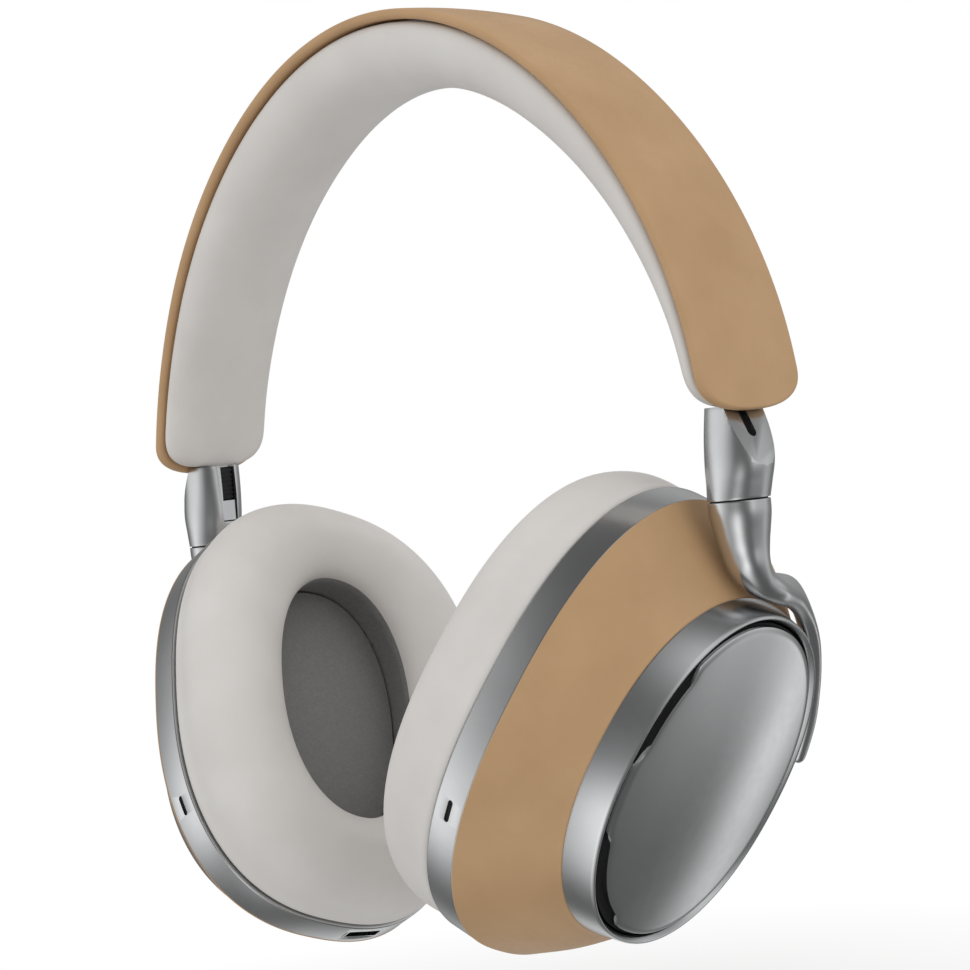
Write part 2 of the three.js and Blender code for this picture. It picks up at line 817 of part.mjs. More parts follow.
function chargingPort(place) {
  const shell = edgeBox(place, [PORT_DEPTH, PORT_WIDTH, PORT_HEIGHT], PORT_DEPTH / 2 + 0.4);
  const mouthSize = [PORT_DEPTH - 1, PORT_WIDTH - 0.8, PORT_HEIGHT - 0.8];
  const mouth = edgeBox(place, mouthSize, PORT_DEPTH / 2 - 0.6);
  return cut(shell, mouth);
}

function keyBoard(place) {
  return edgeBox(place, [1, 40, 3.6], RING_WALL + 5);
}

// ---- yoke ----
// The tilt axis is level: it runs to the rear through the pod, where the yoke ends.
function pivotLine(from, to) {
  const along = new THREE.Vector3(0, Math.cos(PIVOT_ANGLE), Math.sin(PIVOT_ANGLE));
  const centre = new THREE.Vector3(PIVOT_OUT, COVER_TOP_REAR, 0);
  return [
    centre.clone().addScaledVector(along, from),
    centre.clone().addScaledVector(along, to),
  ];
}

// A station of the yoke beside the pod, at an angle from the rear: how far it stands off the pod,
// how far its section leans over with the cover's slope, and its two half sizes.
function yokeStation(degrees, out, standoff, lean, halfWidth, halfThick) {
  const angle = THREE.MathUtils.degToRad(degrees);
  const tip = THREE.MathUtils.degToRad(lean);
  const [a, b] = [POD_A + standoff, POD_B + standoff];
  const radial = new THREE.Vector3(0, b * Math.cos(angle), a * Math.sin(angle)).normalize();
  return {
    at: new THREE.Vector3(out, COVER_TOP_REAR + a * Math.cos(angle), b * Math.sin(angle)),
    hint: new THREE.Vector3(Math.cos(tip), 0, 0).addScaledVector(radial, -Math.sin(tip)),
    halfWidth,
    halfThick,
    n: 3,
  };
}

// Stations with their section axes set square to the path that they lie on.
function squared(stations) {
  return stations.map((station, i) => {
    const before = stations[Math.max(0, i - 1)].at;
    const after = stations[Math.min(stations.length - 1, i + 1)].at;
    const tangent = station.tangent ?? new THREE.Vector3().subVectors(after, before).normalize();
    const two = new THREE.Vector3().crossVectors(station.hint, tangent).normalize();
    const one = new THREE.Vector3().crossVectors(tangent, two);
    return {
      at: station.at,
      one: one.multiplyScalar(station.halfWidth),
      two: two.multiplyScalar(station.halfThick),
      n: station.n,
    };
  });
}

function cupDirection(x, y, z) {
  const turn = new THREE.Quaternion().setFromEuler(cupRotation()).invert();
  return new THREE.Vector3(x, y, z).applyQuaternion(turn);
}

function yokeNeck() {
  const foot = intoCup(ARM_FOOT);
  const down = cupDirection(0, 0, -1);
  const out = cupDirection(1, 0, 0);
  const round = (drop, radius) => ({
    at: foot.clone().addScaledVector(down, drop),
    hint: out,
    tangent: down,
    halfWidth: radius,
    halfThick: radius,
    n: 2,
  });
  const bend = (x, y, z, halfWidth, halfThick, n) => ({
    at: intoCup(new THREE.Vector3(x, y, z)),
    hint: out.clone().lerp(new THREE.Vector3(0.84, 0, -0.53), 0.5),
    halfWidth,
    halfThick,
    n,
  });
  return [
    round(GAP, ARM_RADIUS),
    round(3, ARM_RADIUS - 0.1),
    round(6.2, ARM_RADIUS - 0.6),
    bend(80.2, -3.5, 1.6, 5, 4.9, 2),
    bend(80.5, -3, -2, 4.5, 4.1, 2.1),
    bend(80.6, -0.9, -4.9, 4, 3.3, 2.2),
    bend(80.3, 3.6, -6.9, 3.8, 2.7, 2.5),
  ];
}

function yoke() {
  const stations = [
    ...yokeNeck(),
    yokeStation(86, 17.2, 3.6, 32, 3.6, 2.3),
    yokeStation(73, 16.6, 3.3, 29, 3, 1.9),
    yokeStation(60, 16.3, 3.3, 25, 2.9, 1.8),
    yokeStation(48, 16, 3.4, 20, 2.8, 1.9),
    yokeStation(37, 15.9, 3.7, 15, 2.9, 1.9),
    yokeStation(27, 15.8, 4.1, 10, 3.2, 1.9),
    yokeStation(17, 15.7, 4.4, 6, 3.2, 1.8),
    yokeStation(14.5, 15.7, 4.4, 6, 2, 1.2),
  ];
  const seat = intoCup(ARM_FOOT);
  const down = cupDirection(0, 0, -1);
  const boreStart = seat.clone().addScaledVector(down, -2);
  const boreEnd = seat.clone().addScaledVector(down, SWIVEL_PIN_HALF + GAP);
  const [from, to] = pivotLine(20, 60);
  return cut(
    bar(squared(stations), 16),
    rod(boreStart, boreEnd, SWIVEL_PIN_RADIUS + GAP, 16),
    rod(from, to, PIVOT_RADIUS + GAP, 12),
  );
}

function pivotPin() {
  const edge = Math.hypot(POD_A * Math.cos(PIVOT_ANGLE), POD_B * Math.sin(PIVOT_ANGLE));
  const [from, to] = pivotLine(edge - 2.4, edge + PIVOT_REACH);
  return rod(from, to, PIVOT_RADIUS, 12);
}

// ---- assembly ----
const HALF_TURN = Math.PI;
const REAR_KEYS = {
  power_switch: 0.5,
  volume_up_button: 0.2,
  action_button: -0.03,
  volume_down_button: -0.26,
};
const QUICK_KEY_ANGLE = 0.1;
const PORT_ANGLE = -1.35;
const MIC_ANGLE = HALF_TURN + 0.5;

function cupPieces(side) {
  const level = -RING_DEPTH / 2;
  const mic = edgePlace(MIC_ANGLE, level);
  const windows = [edgeBox(mic, [2, 4.4, 1.3], 0)];
  const extras = [];
  const keys = side === "left" ? { quick_action_button: QUICK_KEY_ANGLE } : REAR_KEYS;
  for (const [name, angle] of Object.entries(keys)) {
    const place = edgePlace(angle, level);
    const key = name === "power_switch" ? SLIDE_KEY : PRESS_KEY;
    windows.push(keyWindow(place, key));
    extras.push(piece(name, keyCap(place, key), key === SLIDE_KEY ? "steel" : "aluminium"));
  }
  if (side === "right") {
    const place = edgePlace(PORT_ANGLE, level);
    windows.push(portWindow(place));
    extras.push(piece("usb_c_port", chargingPort(place), "steel"));
    extras.push(piece("side_key_board", keyBoard(edgePlace(0.1, level)), "board"));
  } else {
    extras.push(piece("battery_pack", batteryPack(), "plastic"));
  }
  return [
    piece(`trim_ring_${side}`, trimRing(windows), "aluminium"),
    piece(`ear_cover_${side}`, earCover(), "leather"),
    piece(`pod_ring_${side}`, podRing(), "aluminium"),
    piece(`vent_mesh_${side}`, ventMesh(), "black"),
    piece(`disc_plate_${side}`, discPlate(), "steel"),
    piece(`ear_pad_${side}`, earPad(), "cushion"),
    piece(`ear_liner_${side}`, earLiner(), "fabric"),
    piece(`baffle_plate_${side}`, bafflePlate(), "plastic"),
    piece(`driver_frame_${side}`, driverFrame(), "plastic"),
    piece(`driver_diaphragm_${side}`, driverDiaphragm(), "film"),
    piece(`driver_magnet_${side}`, driverMagnet(), "steel"),
    piece(`circuit_board_${side}`, circuitBoard(), "board"),
    piece(`yoke_${side}`, yoke(), "aluminium"),
    piece(`tilt_pin_${side}`, pivotPin(), "steel"),
    ...extras,
  ];
}

function sidePieces(side) {
  const group = new THREE.Group();
  group.add(
    piece(`slider_housing_${side}`, sliderHousing(), "plastic"),
    piece(`slider_blade_${side}`, sliderBlade(), "steel"),
    piece(`upper_arm_${side}`, upperArm(), "aluminium"),
    piece(`arm_cable_${side}`, armCable(), "black"),
    piece(`arm_plug_${side}`, armPlug(), "steel"),
    piece(`swivel_pin_${side}`, swivelPin(), "steel"),
  );
  const cup = new THREE.Group();
  cup.position.copy(CUP_CENTRE);
  cup.rotation.copy(cupRotation());
  cup.add(...cupPieces(side));
  group.add(cup);
  if (side === "right") group.scale.x = -1;
  return group;
}

const headphones = new THREE.Group();
headphones.position.z = -HEAD_REST_Z;
headphones.add(
  piece("headband_cover", headbandCover(), "leather"),
  piece("headband_core", headbandCore(), "steel"),
  piece("headband_cushion", headbandCushion(), "cushion"),
  sidePieces("left"),
  sidePieces("right"),
);

export default headphones;
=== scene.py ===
import json
import math

import bmesh
import bpy
import numpy as np
from mathutils import Matrix, Vector

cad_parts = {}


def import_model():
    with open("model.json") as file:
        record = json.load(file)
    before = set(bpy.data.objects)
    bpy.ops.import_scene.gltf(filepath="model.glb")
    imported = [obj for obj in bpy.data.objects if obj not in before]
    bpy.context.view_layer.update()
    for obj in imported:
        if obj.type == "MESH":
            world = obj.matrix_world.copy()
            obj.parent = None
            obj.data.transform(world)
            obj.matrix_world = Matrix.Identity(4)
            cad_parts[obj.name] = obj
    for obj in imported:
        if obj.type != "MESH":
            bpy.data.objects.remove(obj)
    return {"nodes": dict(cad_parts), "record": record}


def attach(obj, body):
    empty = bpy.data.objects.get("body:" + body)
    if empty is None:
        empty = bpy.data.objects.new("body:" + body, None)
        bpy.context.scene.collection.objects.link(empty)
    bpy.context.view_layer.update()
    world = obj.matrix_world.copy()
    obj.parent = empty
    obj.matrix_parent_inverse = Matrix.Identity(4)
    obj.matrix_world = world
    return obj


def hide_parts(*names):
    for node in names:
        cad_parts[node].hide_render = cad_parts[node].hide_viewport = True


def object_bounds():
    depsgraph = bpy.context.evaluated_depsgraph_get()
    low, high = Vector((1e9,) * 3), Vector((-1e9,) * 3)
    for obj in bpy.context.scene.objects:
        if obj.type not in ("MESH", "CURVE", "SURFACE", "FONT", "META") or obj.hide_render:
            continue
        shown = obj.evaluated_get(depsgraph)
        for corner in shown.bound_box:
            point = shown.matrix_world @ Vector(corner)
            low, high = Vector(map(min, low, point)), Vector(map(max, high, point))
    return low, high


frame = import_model()
CAD_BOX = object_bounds()

# ---- driving dimensions, in millimetres, the same as the CAD's ----
MM = 0.001
GAP = 0.3
ARCH_X = (82.3, 0.4, 0.4)
ARCH_Z = (91.3, -0.8, 0.4)
ARCH_FOOT_Z = 28.2
FLARE_OUT, FLARE_FORWARD, FLARE_RISE = 1.5, 1.0, 0.45
BAND_THICK_CROWN, BAND_THICK_END = 16.9, 7.0
BAND_THICK_POWER = 1.2
BAND_HALF_CROWN, BAND_HALF_END = 14.6, 15.2
COVER_THICK, COVER_ROLL = 1.6, 1.05
COVER_CROWNING = 0.6
COVER_END_ROUND = 7.5
CUSHION_END_ROUND, CUSHION_START = 9.5, 0.017
CUSHION_END_POWER = 3.0
CUSHION_END_EXTRA = 1.2
CUSHION_EDGE, CUSHION_SLACK, CUSHION_SWELL = 0.5, 0.6, 0.7
END_POWER = 2.4
HEAD_REST_Z = 103.8
ARM_FOOT = np.array((80.0, -3.6, 11.2))
ARM_HEAD = np.array((80.9, -2.0, 29.0))
ARM_RADIUS = 6.2
WASHER_RADIUS, WASHER_HALF = 5.7, 0.14
SCOOP_TOP = np.array((82.0, 0.0, 29.0))
SCOOP_FOOT = np.array((87.2, 0.0, 17.8))
ARM_TOP_SHARE = 1.02
SLIDE_LEAN = math.radians(10.5)
BLADE_FOOT = np.array((79.2, -1.0, 29.0))
CHANNEL_WIDTH, CHANNEL_DEPTH, CHANNEL_FOOT_Z = 4.2, 2.4, 16.2
GUIDE_FOOT, GUIDE_HEAD, GUIDE_HALF, GUIDE_BEHIND = 7.5, 29.5, 7.0, 0.6
ARM_SLOT, ARM_SLOT_LINING, ARM_SLOT_DROP = (5.4, 1.25), (5.35, 1.2), 1.2
ARM_SCREW, ARM_SCREW_FILL = (0.8, 0.8), (0.78, 0.78)
CUP_CENTRE = np.array((48.1, -11.1, -32.8))
CUP_TOE, CUP_TILT, CUP_ROLL = (math.radians(v) for v in (1.6, 25.8, -22.3))
CUP_A, CUP_B, CUP_POWER = 37.3, 50.0, 2.4
RING_DEPTH, RING_WALL = 7.2, 3.0
COVER_TOP, COVER_TOP_REAR, COVER_WALL = 15.2, 4.5, 1.8
POD_A, POD_B, POD_POWER = 31.6, 37.2, 2.15
POD_TOP, POD_TOP_REAR = 21.8, 4.8
RIM_A, RIM_B = 27.7, 35.3
DISC_A, DISC_B, DISC_DOME = 26.2, 33.3, 1.9
PAD_DEPTH, PAD_HOLE_A, PAD_HOLE_B = 19.5, 16.5, 29.5
PAD_SLACK, PAD_SWELL = 0.7, 1.0
PRESSURE = 4.0
LINER_LAP, LINER_THICK, LINER_BULGE = 1.6, 0.5, 0.7
VENT_SLOTS = ((144, 184), (206, 260))
VENT_WIDTH, VENT_RAMP, VENT_FADE = 1.3, 8, 24
BUTTON_WIDTH, BUTTON_LENGTH = 3.4, 8.0
PORT_WIDTH, PORT_HEIGHT, PORT_ANGLE = 9.2, 3.4, -1.35
MIC_ANGLE = math.pi + 0.5
RIGHT_KEYS = {
    "power_switch": 0.5,
    "volume_up_button": 0.2,
    "action_button": -0.03,
    "volume_down_button": -0.26,
}
LEFT_KEYS = {"quick_action_button": 0.1}
OVAL_STEPS = 192

CUP_TURN = np.array(
    Matrix.Rotation(CUP_TOE, 3, "Z") @ Matrix.Rotation(CUP_TILT, 3, "Y") @ Matrix.Rotation(CUP_ROLL, 3, "X")
)
TO_ROW = np.array((0.0, 0.0, -HEAD_REST_Z))


# ---- mesh helpers ----
def power(value, exponent):
    return math.copysign(abs(value) ** exponent, value)


def oval(angle, a, b, n):
    return a * power(math.cos(angle), 2 / n), b * power(math.sin(angle), 2 / n)


def level_point(angle, level):
    """A point of the superellipse (x, a, b, power, rearward shift) in the cup's frame."""
    x, a, b, n, rear = level
    y, z = oval(angle, a, b, n)
    return np.array((x, y + rear, z))


def from_cup(points):
    """Points in the cup's frame, moved into the frame that the arms are in."""
    return np.asarray(points) @ CUP_TURN.T + CUP_CENTRE


def into_cup(point):
    return (np.asarray(point) - CUP_CENTRE) @ CUP_TURN


def skin(rings, closed):
    """Vertices and faces over rings of points, closed in a loop or capped at both ends."""
    count = len(rings[0])
    points = [p for ring in rings for p in ring]
    faces = []
    for i in range(len(rings) if closed else len(rings) - 1):
        here, after = i * count, ((i + 1) % len(rings)) * count
        for k in range(count):
            m = (k + 1) % count
            faces.append((here + k, here + m, after + m, after + k))
    if not closed:
        last = (len(rings) - 1) * count
        faces.append(tuple(reversed(range(count))))
        faces.append(tuple(range(last, last + count)))
    return np.array(points), faces


def spline(rows, count):
    """Rows interpolated with a Catmull-Rom curve."""
    rows = np.asarray(rows, float)
    padded = np.vstack((2 * rows[0] - rows[1], rows, 2 * rows[-1] - rows[-2]))
    out = []
    for u in np.linspace(0, len(rows) - 1, count):
        i = min(int(u), len(rows) - 2)
        t = u - i
        p0, p1, p2, p3 = padded[i : i + 4]
        square = 2 * p0 - 5 * p1 + 4 * p2 - p3
        cube = 3 * p1 - p0 - 3 * p2 + p3
        out.append(0.5 * (2 * p1 + (p2 - p0) * t + square * t * t + cube * t**3))
    return np.array(out)


def filleted(section, radius, steps=5):
    """A closed section with each corner rounded."""
    section = np.asarray(section, float)
    out = []
    for i, corner in enumerate(section):
        ends = []
        for other in (section[i - 1], section[(i + 1) % len(section)]):
            away = other - corner
            reach = np.linalg.norm(away[:2]) + 1e-9
            ends.append(corner + away * min(radius / reach, 0.45))
        for t in np.linspace(0, 1, steps):
            out.append((1 - t) ** 2 * ends[0] + 2 * t * (1 - t) * corner + t * t * ends[1])
    return out


def build(name, points, faces, side="left", sharp=35.0):
    """A mesh object from points in millimetres; the right side is mirrored."""
    points = (np.asarray(points, float) + TO_ROW) * MM
    if side == "right":
        points[:, 0] *= -1
    mesh = bpy.data.meshes.new(name)
    mesh.from_pydata(points.tolist(), [], faces)
    obj = bpy.data.objects.new(name, mesh)
    bpy.context.scene.collection.objects.link(obj)
    tidy(obj, sharp)
    return obj


def tidy(obj, sharp=35.0):
    """Outward normals and smooth shading with sharp creases."""
    bm = bmesh.new()
    bm.from_mesh(obj.data)
    bmesh.ops.remove_doubles(bm, verts=bm.verts, dist=1e-7)
    bmesh.ops.recalc_face_normals(bm, faces=bm.faces)
    bm.to_mesh(obj.data)
    bm.free()
    obj.data.shade_smooth()
    obj.data.set_sharp_from_angle(angle=math.radians(sharp))


def apply_modifier(obj, modifier):
    bpy.context.view_layer.objects.active = obj
    bpy.ops.object.modifier_apply(modifier=modifier.name)


def cut(obj, cutters):
    for cutter in cutters:
        modifier = obj.modifiers.new("Cut", "BOOLEAN")
        modifier.operation = "DIFFERENCE"
        modifier.solver = "EXACT"
        modifier.object = cutter
        apply_modifier(obj, modifier)
        bpy.data.objects.remove(cutter, do_unlink=True)


def bevel(obj, width, angle=40.0, segments=3):
    modifier = obj.modifiers.new("Bevel", "BEVEL")
    modifier.width = width * MM
    modifier.segments = segments
    modifier.limit_method = "ANGLE"
    modifier.angle_limit = math.radians(angle)
    apply_modifier(obj, modifier)
    tidy(obj, 50.0)


def place(obj, body, slot, *nodes):
    """Puts a finished piece on its body, in its slot and in place of its CAD nodes."""
    if not obj.data.materials:
        obj.data.materials.append(MATERIALS[slot])
    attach(obj, body)
    if nodes:
        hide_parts(*nodes)
    return obj


def ring_object(name, section, side, steps=OVAL_STEPS, trim=None):
    rings = []
    for i in range(steps):
        angle = i / steps * 2 * math.pi
        rings.append([level_point(angle, trim(angle, lv) if trim else lv) for lv in section])
    points, faces = skin(rings, True)
    return build(name, from_cup(points), faces, side)


def plate_object(name, levels, side, steps=OVAL_STEPS, trim=None):
    rings = []
    for lv in levels:
        angles = (i / steps * 2 * math.pi for i in range(steps))
        rings.append([level_point(t, trim(t, lv) if trim else lv) for t in angles])
    points, faces = skin(rings, False)
    return build(name, from_cup(points), faces, side)


def prism(name, middle, axes, half, depth, side, power_n=8.0, sides=32):
    """A rounded bar: half sizes on two axes, depth along the third. Power 0 gives it round ends."""
    rings = []
    for share in (-1, 1):
        ring = []
        for k in range(sides):
            turn = (k + 0.5) / sides * 2 * math.pi
            if power_n:
                p, q = oval(turn, half[0], half[1], power_n)
            else:
                p, q = oval(turn, half[1], half[1], 2.0)
                p += math.copysign(half[0] - half[1], p)
            ring.append(middle + axes[0] * p + axes[1] * q + axes[2] * (share * depth))
        rings.append(ring)
    points, faces = skin(rings, False)
    return build(name, points, faces, side)


# ---- materials ----
def srgb(red, green, blue):
    def linear(value):
        value /= 255
        return value / 12.92 if value <= 0.04045 else ((value + 0.055) / 1.055) ** 2.4

    return (linear(red), linear(green), linear(blue), 1.0)


class Nodes:
    """A small helper to lay out one material's nodes."""

    def __init__(self, name):
        self.material = bpy.data.materials.new(name)
        self.material.use_nodes = True
        self.tree = self.material.node_tree
        self.shader = self.tree.nodes["Principled BSDF"]
        self.coords = self.tree.nodes.new("ShaderNodeTexCoord").outputs["Object"]

    def add(self, kind, inputs=None, **settings):
        node = self.tree.nodes.new(kind)
        for key, value in settings.items():
            setattr(node, key, value)
        for key, value in (inputs or {}).items():
            if isinstance(value, bpy.types.NodeSocket):
                self.tree.links.new(value, node.inputs[key])
            else:
                node.inputs[key].default_value = value
        return node

    def noise(self, scale, detail=3.0):
        inputs = {"Vector": self.coords, "Scale": scale, "Detail": detail}
        return self.add("ShaderNodeTexNoise", inputs).outputs["Fac"]

    def cells(self, scale):
        inputs = {"Vector": self.coords, "Scale": scale, "Smoothness": 0.6}
        return self.add("ShaderNodeTexVoronoi", inputs, feature="SMOOTH_F1").outputs["Distance"]

    def spread(self, value, low, high):
        inputs = {"Value": value, "From Min": 0.3, "From Max": 0.7, "To Min": low, "To Max": high}
        return self.add("ShaderNodeMapRange", inputs).outputs["Result"]

    def colours(self, value, dark, light):
        node = self.add("ShaderNodeMix", {0: self.spread(value, 0.0, 1.0)}, data_type="RGBA")
        node.inputs[6].default_value = dark
        node.inputs[7].default_value = light
        self.tree.links.new(node.outputs[2], self.shader.inputs["Base Color"])

    def bumps(self, *layers):
        """Layers of (height, strength, distance in millimetres), each over the one before."""
        normal = None
        for height, strength, distance in layers:
            inputs = {"Height": height, "Strength": strength, "Distance": distance * MM}
            if normal:
                inputs["Normal"] = normal
            normal = self.add("ShaderNodeBump", inputs).outputs["Normal"]
        self.tree.links.new(normal, self.shader.inputs["Normal"])

    def roughness(self, value, low, high):
        self.tree.links.new(self.spread(value, low, high), self.shader.inputs["Roughness"])

    def put(self, **values):
        for key, value in values.items():
            self.shader.inputs[key.replace("_", " ")].default_value = value


def leather(name, dark, light, grain, rough):
    n = Nodes(name)
    n.colours(n.noise(60, 5.0), dark, light)
    pores, folds, dents = n.cells(1500), n.noise(5200, 2.0), n.noise(110, 2.0)
    n.bumps((pores, grain, 0.06), (folds, grain * 0.6, 0.03), (dents, 0.1, 0.2))
    n.roughness(n.noise(900), rough - 0.05, rough + 0.06)
    n.put(Specular_IOR_Level=0.35)
    return n.material


def metal(name, dark, light, rough, grain=0.06):
    n = Nodes(name)
    n.colours(n.noise(120, 4.0), dark, light)
    n.bumps((n.noise(5000, 2.0), grain, 0.004),)
    n.roughness(n.noise(500, 4.0), rough - 0.015, rough + 0.015)
    n.put(Metallic=1.0)
    return n.material


def plastic(name, dark, light, rough):
    n = Nodes(name)
    n.colours(n.noise(400, 3.0), dark, light)
    n.bumps((n.noise(4000, 2.0), 0.15, 0.03),)
    n.roughness(n.noise(800), rough - 0.05, rough + 0.05)
    return n.material


def woven(name, dark, light, scale):
    """A fine knit: two crossing waves give the threads."""
    n = Nodes(name)
    waves = []
    for direction in ("Y", "Z"):
        inputs = {"Vector": n.coords, "Scale": scale, "Distortion": 0.6, "Detail": 1.0}
        waves.append(n.add("ShaderNodeTexWave", inputs, bands_direction=direction).outputs["Fac"])
    weave = n.add("ShaderNodeMath", {0: waves[0], 1: waves[1]}, operation="MULTIPLY").outputs[0]
    n.colours(n.noise(1600, 4.0), dark, light)
    n.bumps((weave, 0.5, 0.12), (n.noise(2500), 0.3, 0.06))
    n.roughness(n.noise(700), 0.85, 0.98)
    n.put(Specular_IOR_Level=0.15, Sheen_Weight=0.15, Sheen_Roughness=0.5)
    return n.material


MATERIALS = {
    "tan_leather": leather("tan_leather", srgb(184, 148, 108), srgb(194, 158, 118), 0.3, 0.5),
    "pale_leather": leather("pale_leather", srgb(214, 210, 206), srgb(221, 218, 214), 0.16, 0.55),
    "satin_aluminium": metal("satin_aluminium", srgb(203, 204, 205), srgb(207, 208, 209), 0.24),
    "polished_aluminium": metal("polished_aluminium", srgb(203, 204, 205), srgb(206, 207, 208), 0.17, 0.03),
    "spring_steel": metal("spring_steel", srgb(140, 142, 146), srgb(156, 158, 162), 0.33, 0.12),
    "bright_steel": metal("bright_steel", srgb(196, 197, 199), srgb(206, 207, 209), 0.16),
    "magnet_steel": metal("magnet_steel", srgb(120, 120, 124), srgb(132, 132, 136), 0.35),
    "dark_plastic": plastic("dark_plastic", srgb(40, 40, 43), srgb(48, 48, 52), 0.5),
    "black_cable": plastic("black_cable", srgb(16, 16, 17), srgb(24, 24, 25), 0.45),
    "black_mesh": plastic("black_mesh", srgb(8, 8, 9), srgb(15, 15, 16), 0.7),
    "grey_fabric": woven("grey_fabric", srgb(126, 125, 123), srgb(138, 137, 135), 900.0),
    "driver_film": plastic("driver_film", srgb(196, 190, 176), srgb(206, 200, 188), 0.4),
    "circuit_board": plastic("circuit_board", srgb(26, 72, 46), srgb(34, 86, 56), 0.4),
    "battery_wrap": plastic("battery_wrap", srgb(64, 70, 84), srgb(74, 80, 94), 0.4),
}

# CAD nodes that stay as they are get their slot's material.
for row in frame["record"]["subparts"]:
    node = frame["nodes"][row["node"]]
    node.data.materials.clear()
    node.data.materials.append(MATERIALS[row["material_slot"]])


# ---- headband ----
def arch_point(angle, inset):
    def at(t):
        flare = max(0.0, 1 - math.sin(t) / FLARE_RISE) ** 2
        x = sum(c * math.cos(k * t) for c, k in zip(ARCH_X, (1, 3, 5)))
        z = sum(c * math.sin(k * t) for c, k in zip(ARCH_Z, (1, 3, 5)))
        x += math.copysign(FLARE_OUT * flare, math.cos(t))
        return np.array((x, -FLARE_FORWARD * flare, ARCH_FOOT_Z + z))

    along = at(angle + 1e-3) - at(angle - 1e-3)
    along /= np.linalg.norm(along)
    return at(angle) + np.array((-along[2], 0.0, along[0])) * inset


def arch_rows(count, end_rows, rounding, start):
    """Angles over the arch with the distance to the nearer tip, closer together in the round ends."""
    reach = rounding / ARCH_Z[0]
    head = [start + reach * (1 - math.cos(t)) for t in np.linspace(0.09, math.pi / 2, end_rows)]
    middle = np.linspace(start + reach, math.pi - start - reach, count)[1:-1].tolist()
    return head + middle + [math.pi - t for t in reversed(head)]


def end_share(angle, rounding, start, n=END_POWER):
    reach = (min(angle, math.pi - angle) - start) * ARCH_Z[0]
    rest = max(0.0, 1 - reach / rounding)
    return (1 - rest**n) ** (1 / n), rest


def band_half(angle):
    share = math.sin(angle) ** 2
    return BAND_HALF_END + (BAND_HALF_CROWN - BAND_HALF_END) * share


def band_thick(angle):
    share = max(0.0, math.sin(angle)) ** BAND_THICK_POWER
    return BAND_THICK_END + (BAND_THICK_CROWN - BAND_THICK_END) * share


def rolled(distance, radius):
    """How far a face sinks by its rolled edge, at a distance from the outline."""
    near = min(max(distance, 0.0), radius)
    return radius - math.sqrt(radius**2 - (radius - near) ** 2)


def headband_cover():
    thick = 2 * COVER_ROLL
    lanes = [math.sin(t) for t in np.linspace(-math.pi / 2, math.pi / 2, 49)]
    rings = []
    for angle in arch_rows(150, 22, COVER_END_ROUND, 0.0):
        share, rest = end_share(angle, COVER_END_ROUND, 0.0)
        full = band_half(angle)
        half = full * share
        top, bottom = [], []
        for lane in lanes:
            y = half * lane
            fill = abs(y / full)
            if rest > 0:
                fill = (rest**END_POWER + fill**END_POWER) ** (1 / END_POWER)
            sink = rolled((1 - fill) * full, COVER_ROLL)
            crown = COVER_CROWNING * (1 - (y / full) ** 2)
            top.append((y, sink - crown))
            bottom.append((y, thick - sink))
        ring = []
        for y, inset in top + bottom[-2:0:-1]:
            point = arch_point(angle, inset)
            point[1] += y
            ring.append(point)
        rings.append(ring)
    points, faces = skin(rings, False)
    obj = build("headband_cover_leather", points, faces, sharp=60.0)
    place(obj, "headband", "tan_leather", "headband_cover")


def inflate(obj, held, pressure, limit, frames=20):
    """Cloth simulation of a stuffed skin: pressure from inside, no gravity, capped movement."""
    mesh = obj.data
    group = obj.vertex_groups.new(name="held")
    group.add(held, 1.0, "REPLACE")
    start = np.empty(len(mesh.vertices) * 3)
    mesh.vertices.foreach_get("co", start)
    start = start.reshape(-1, 3)
    modifier = obj.modifiers.new("Cloth", "CLOTH")
    cloth = modifier.settings
    cloth.quality = 6
    cloth.mass = 0.2
    cloth.tension_stiffness = cloth.compression_stiffness = 12
    cloth.shear_stiffness = 6
    cloth.bending_stiffness = 0.6
    cloth.use_pressure = True
    cloth.uniform_pressure_force = pressure
    cloth.vertex_group_mass = "held"
    cloth.effector_weights.gravity = 0
    modifier.collision_settings.use_collision = False
    modifier.point_cache.frame_start = 1
    modifier.point_cache.frame_end = frames
    scene = bpy.context.scene
    for step in range(1, frames + 1):
        scene.frame_set(step)
    shaped = obj.evaluated_get(bpy.context.evaluated_depsgraph_get())
    moved = np.empty(len(mesh.vertices) * 3)
    shaped.data.vertices.foreach_get("co", moved)
    shift = moved.reshape(-1, 3) - start
    length = np.linalg.norm(shift, axis=1, keepdims=True)
    cap = limit * MM
    shift *= cap * np.tanh(length / cap) / np.maximum(length, 1e-12)
    scene.frame_set(1)
    obj.modifiers.remove(modifier)
    obj.vertex_groups.remove(group)
    mesh.vertices.foreach_set("co", (start + shift).ravel())
    mesh.update()


def subdivide(obj, levels=1):
    modifier = obj.modifiers.new("Smooth", "SUBSURF")
    modifier.levels = modifier.render_levels = levels
    apply_modifier(obj, modifier)
    obj.data.shade_smooth()


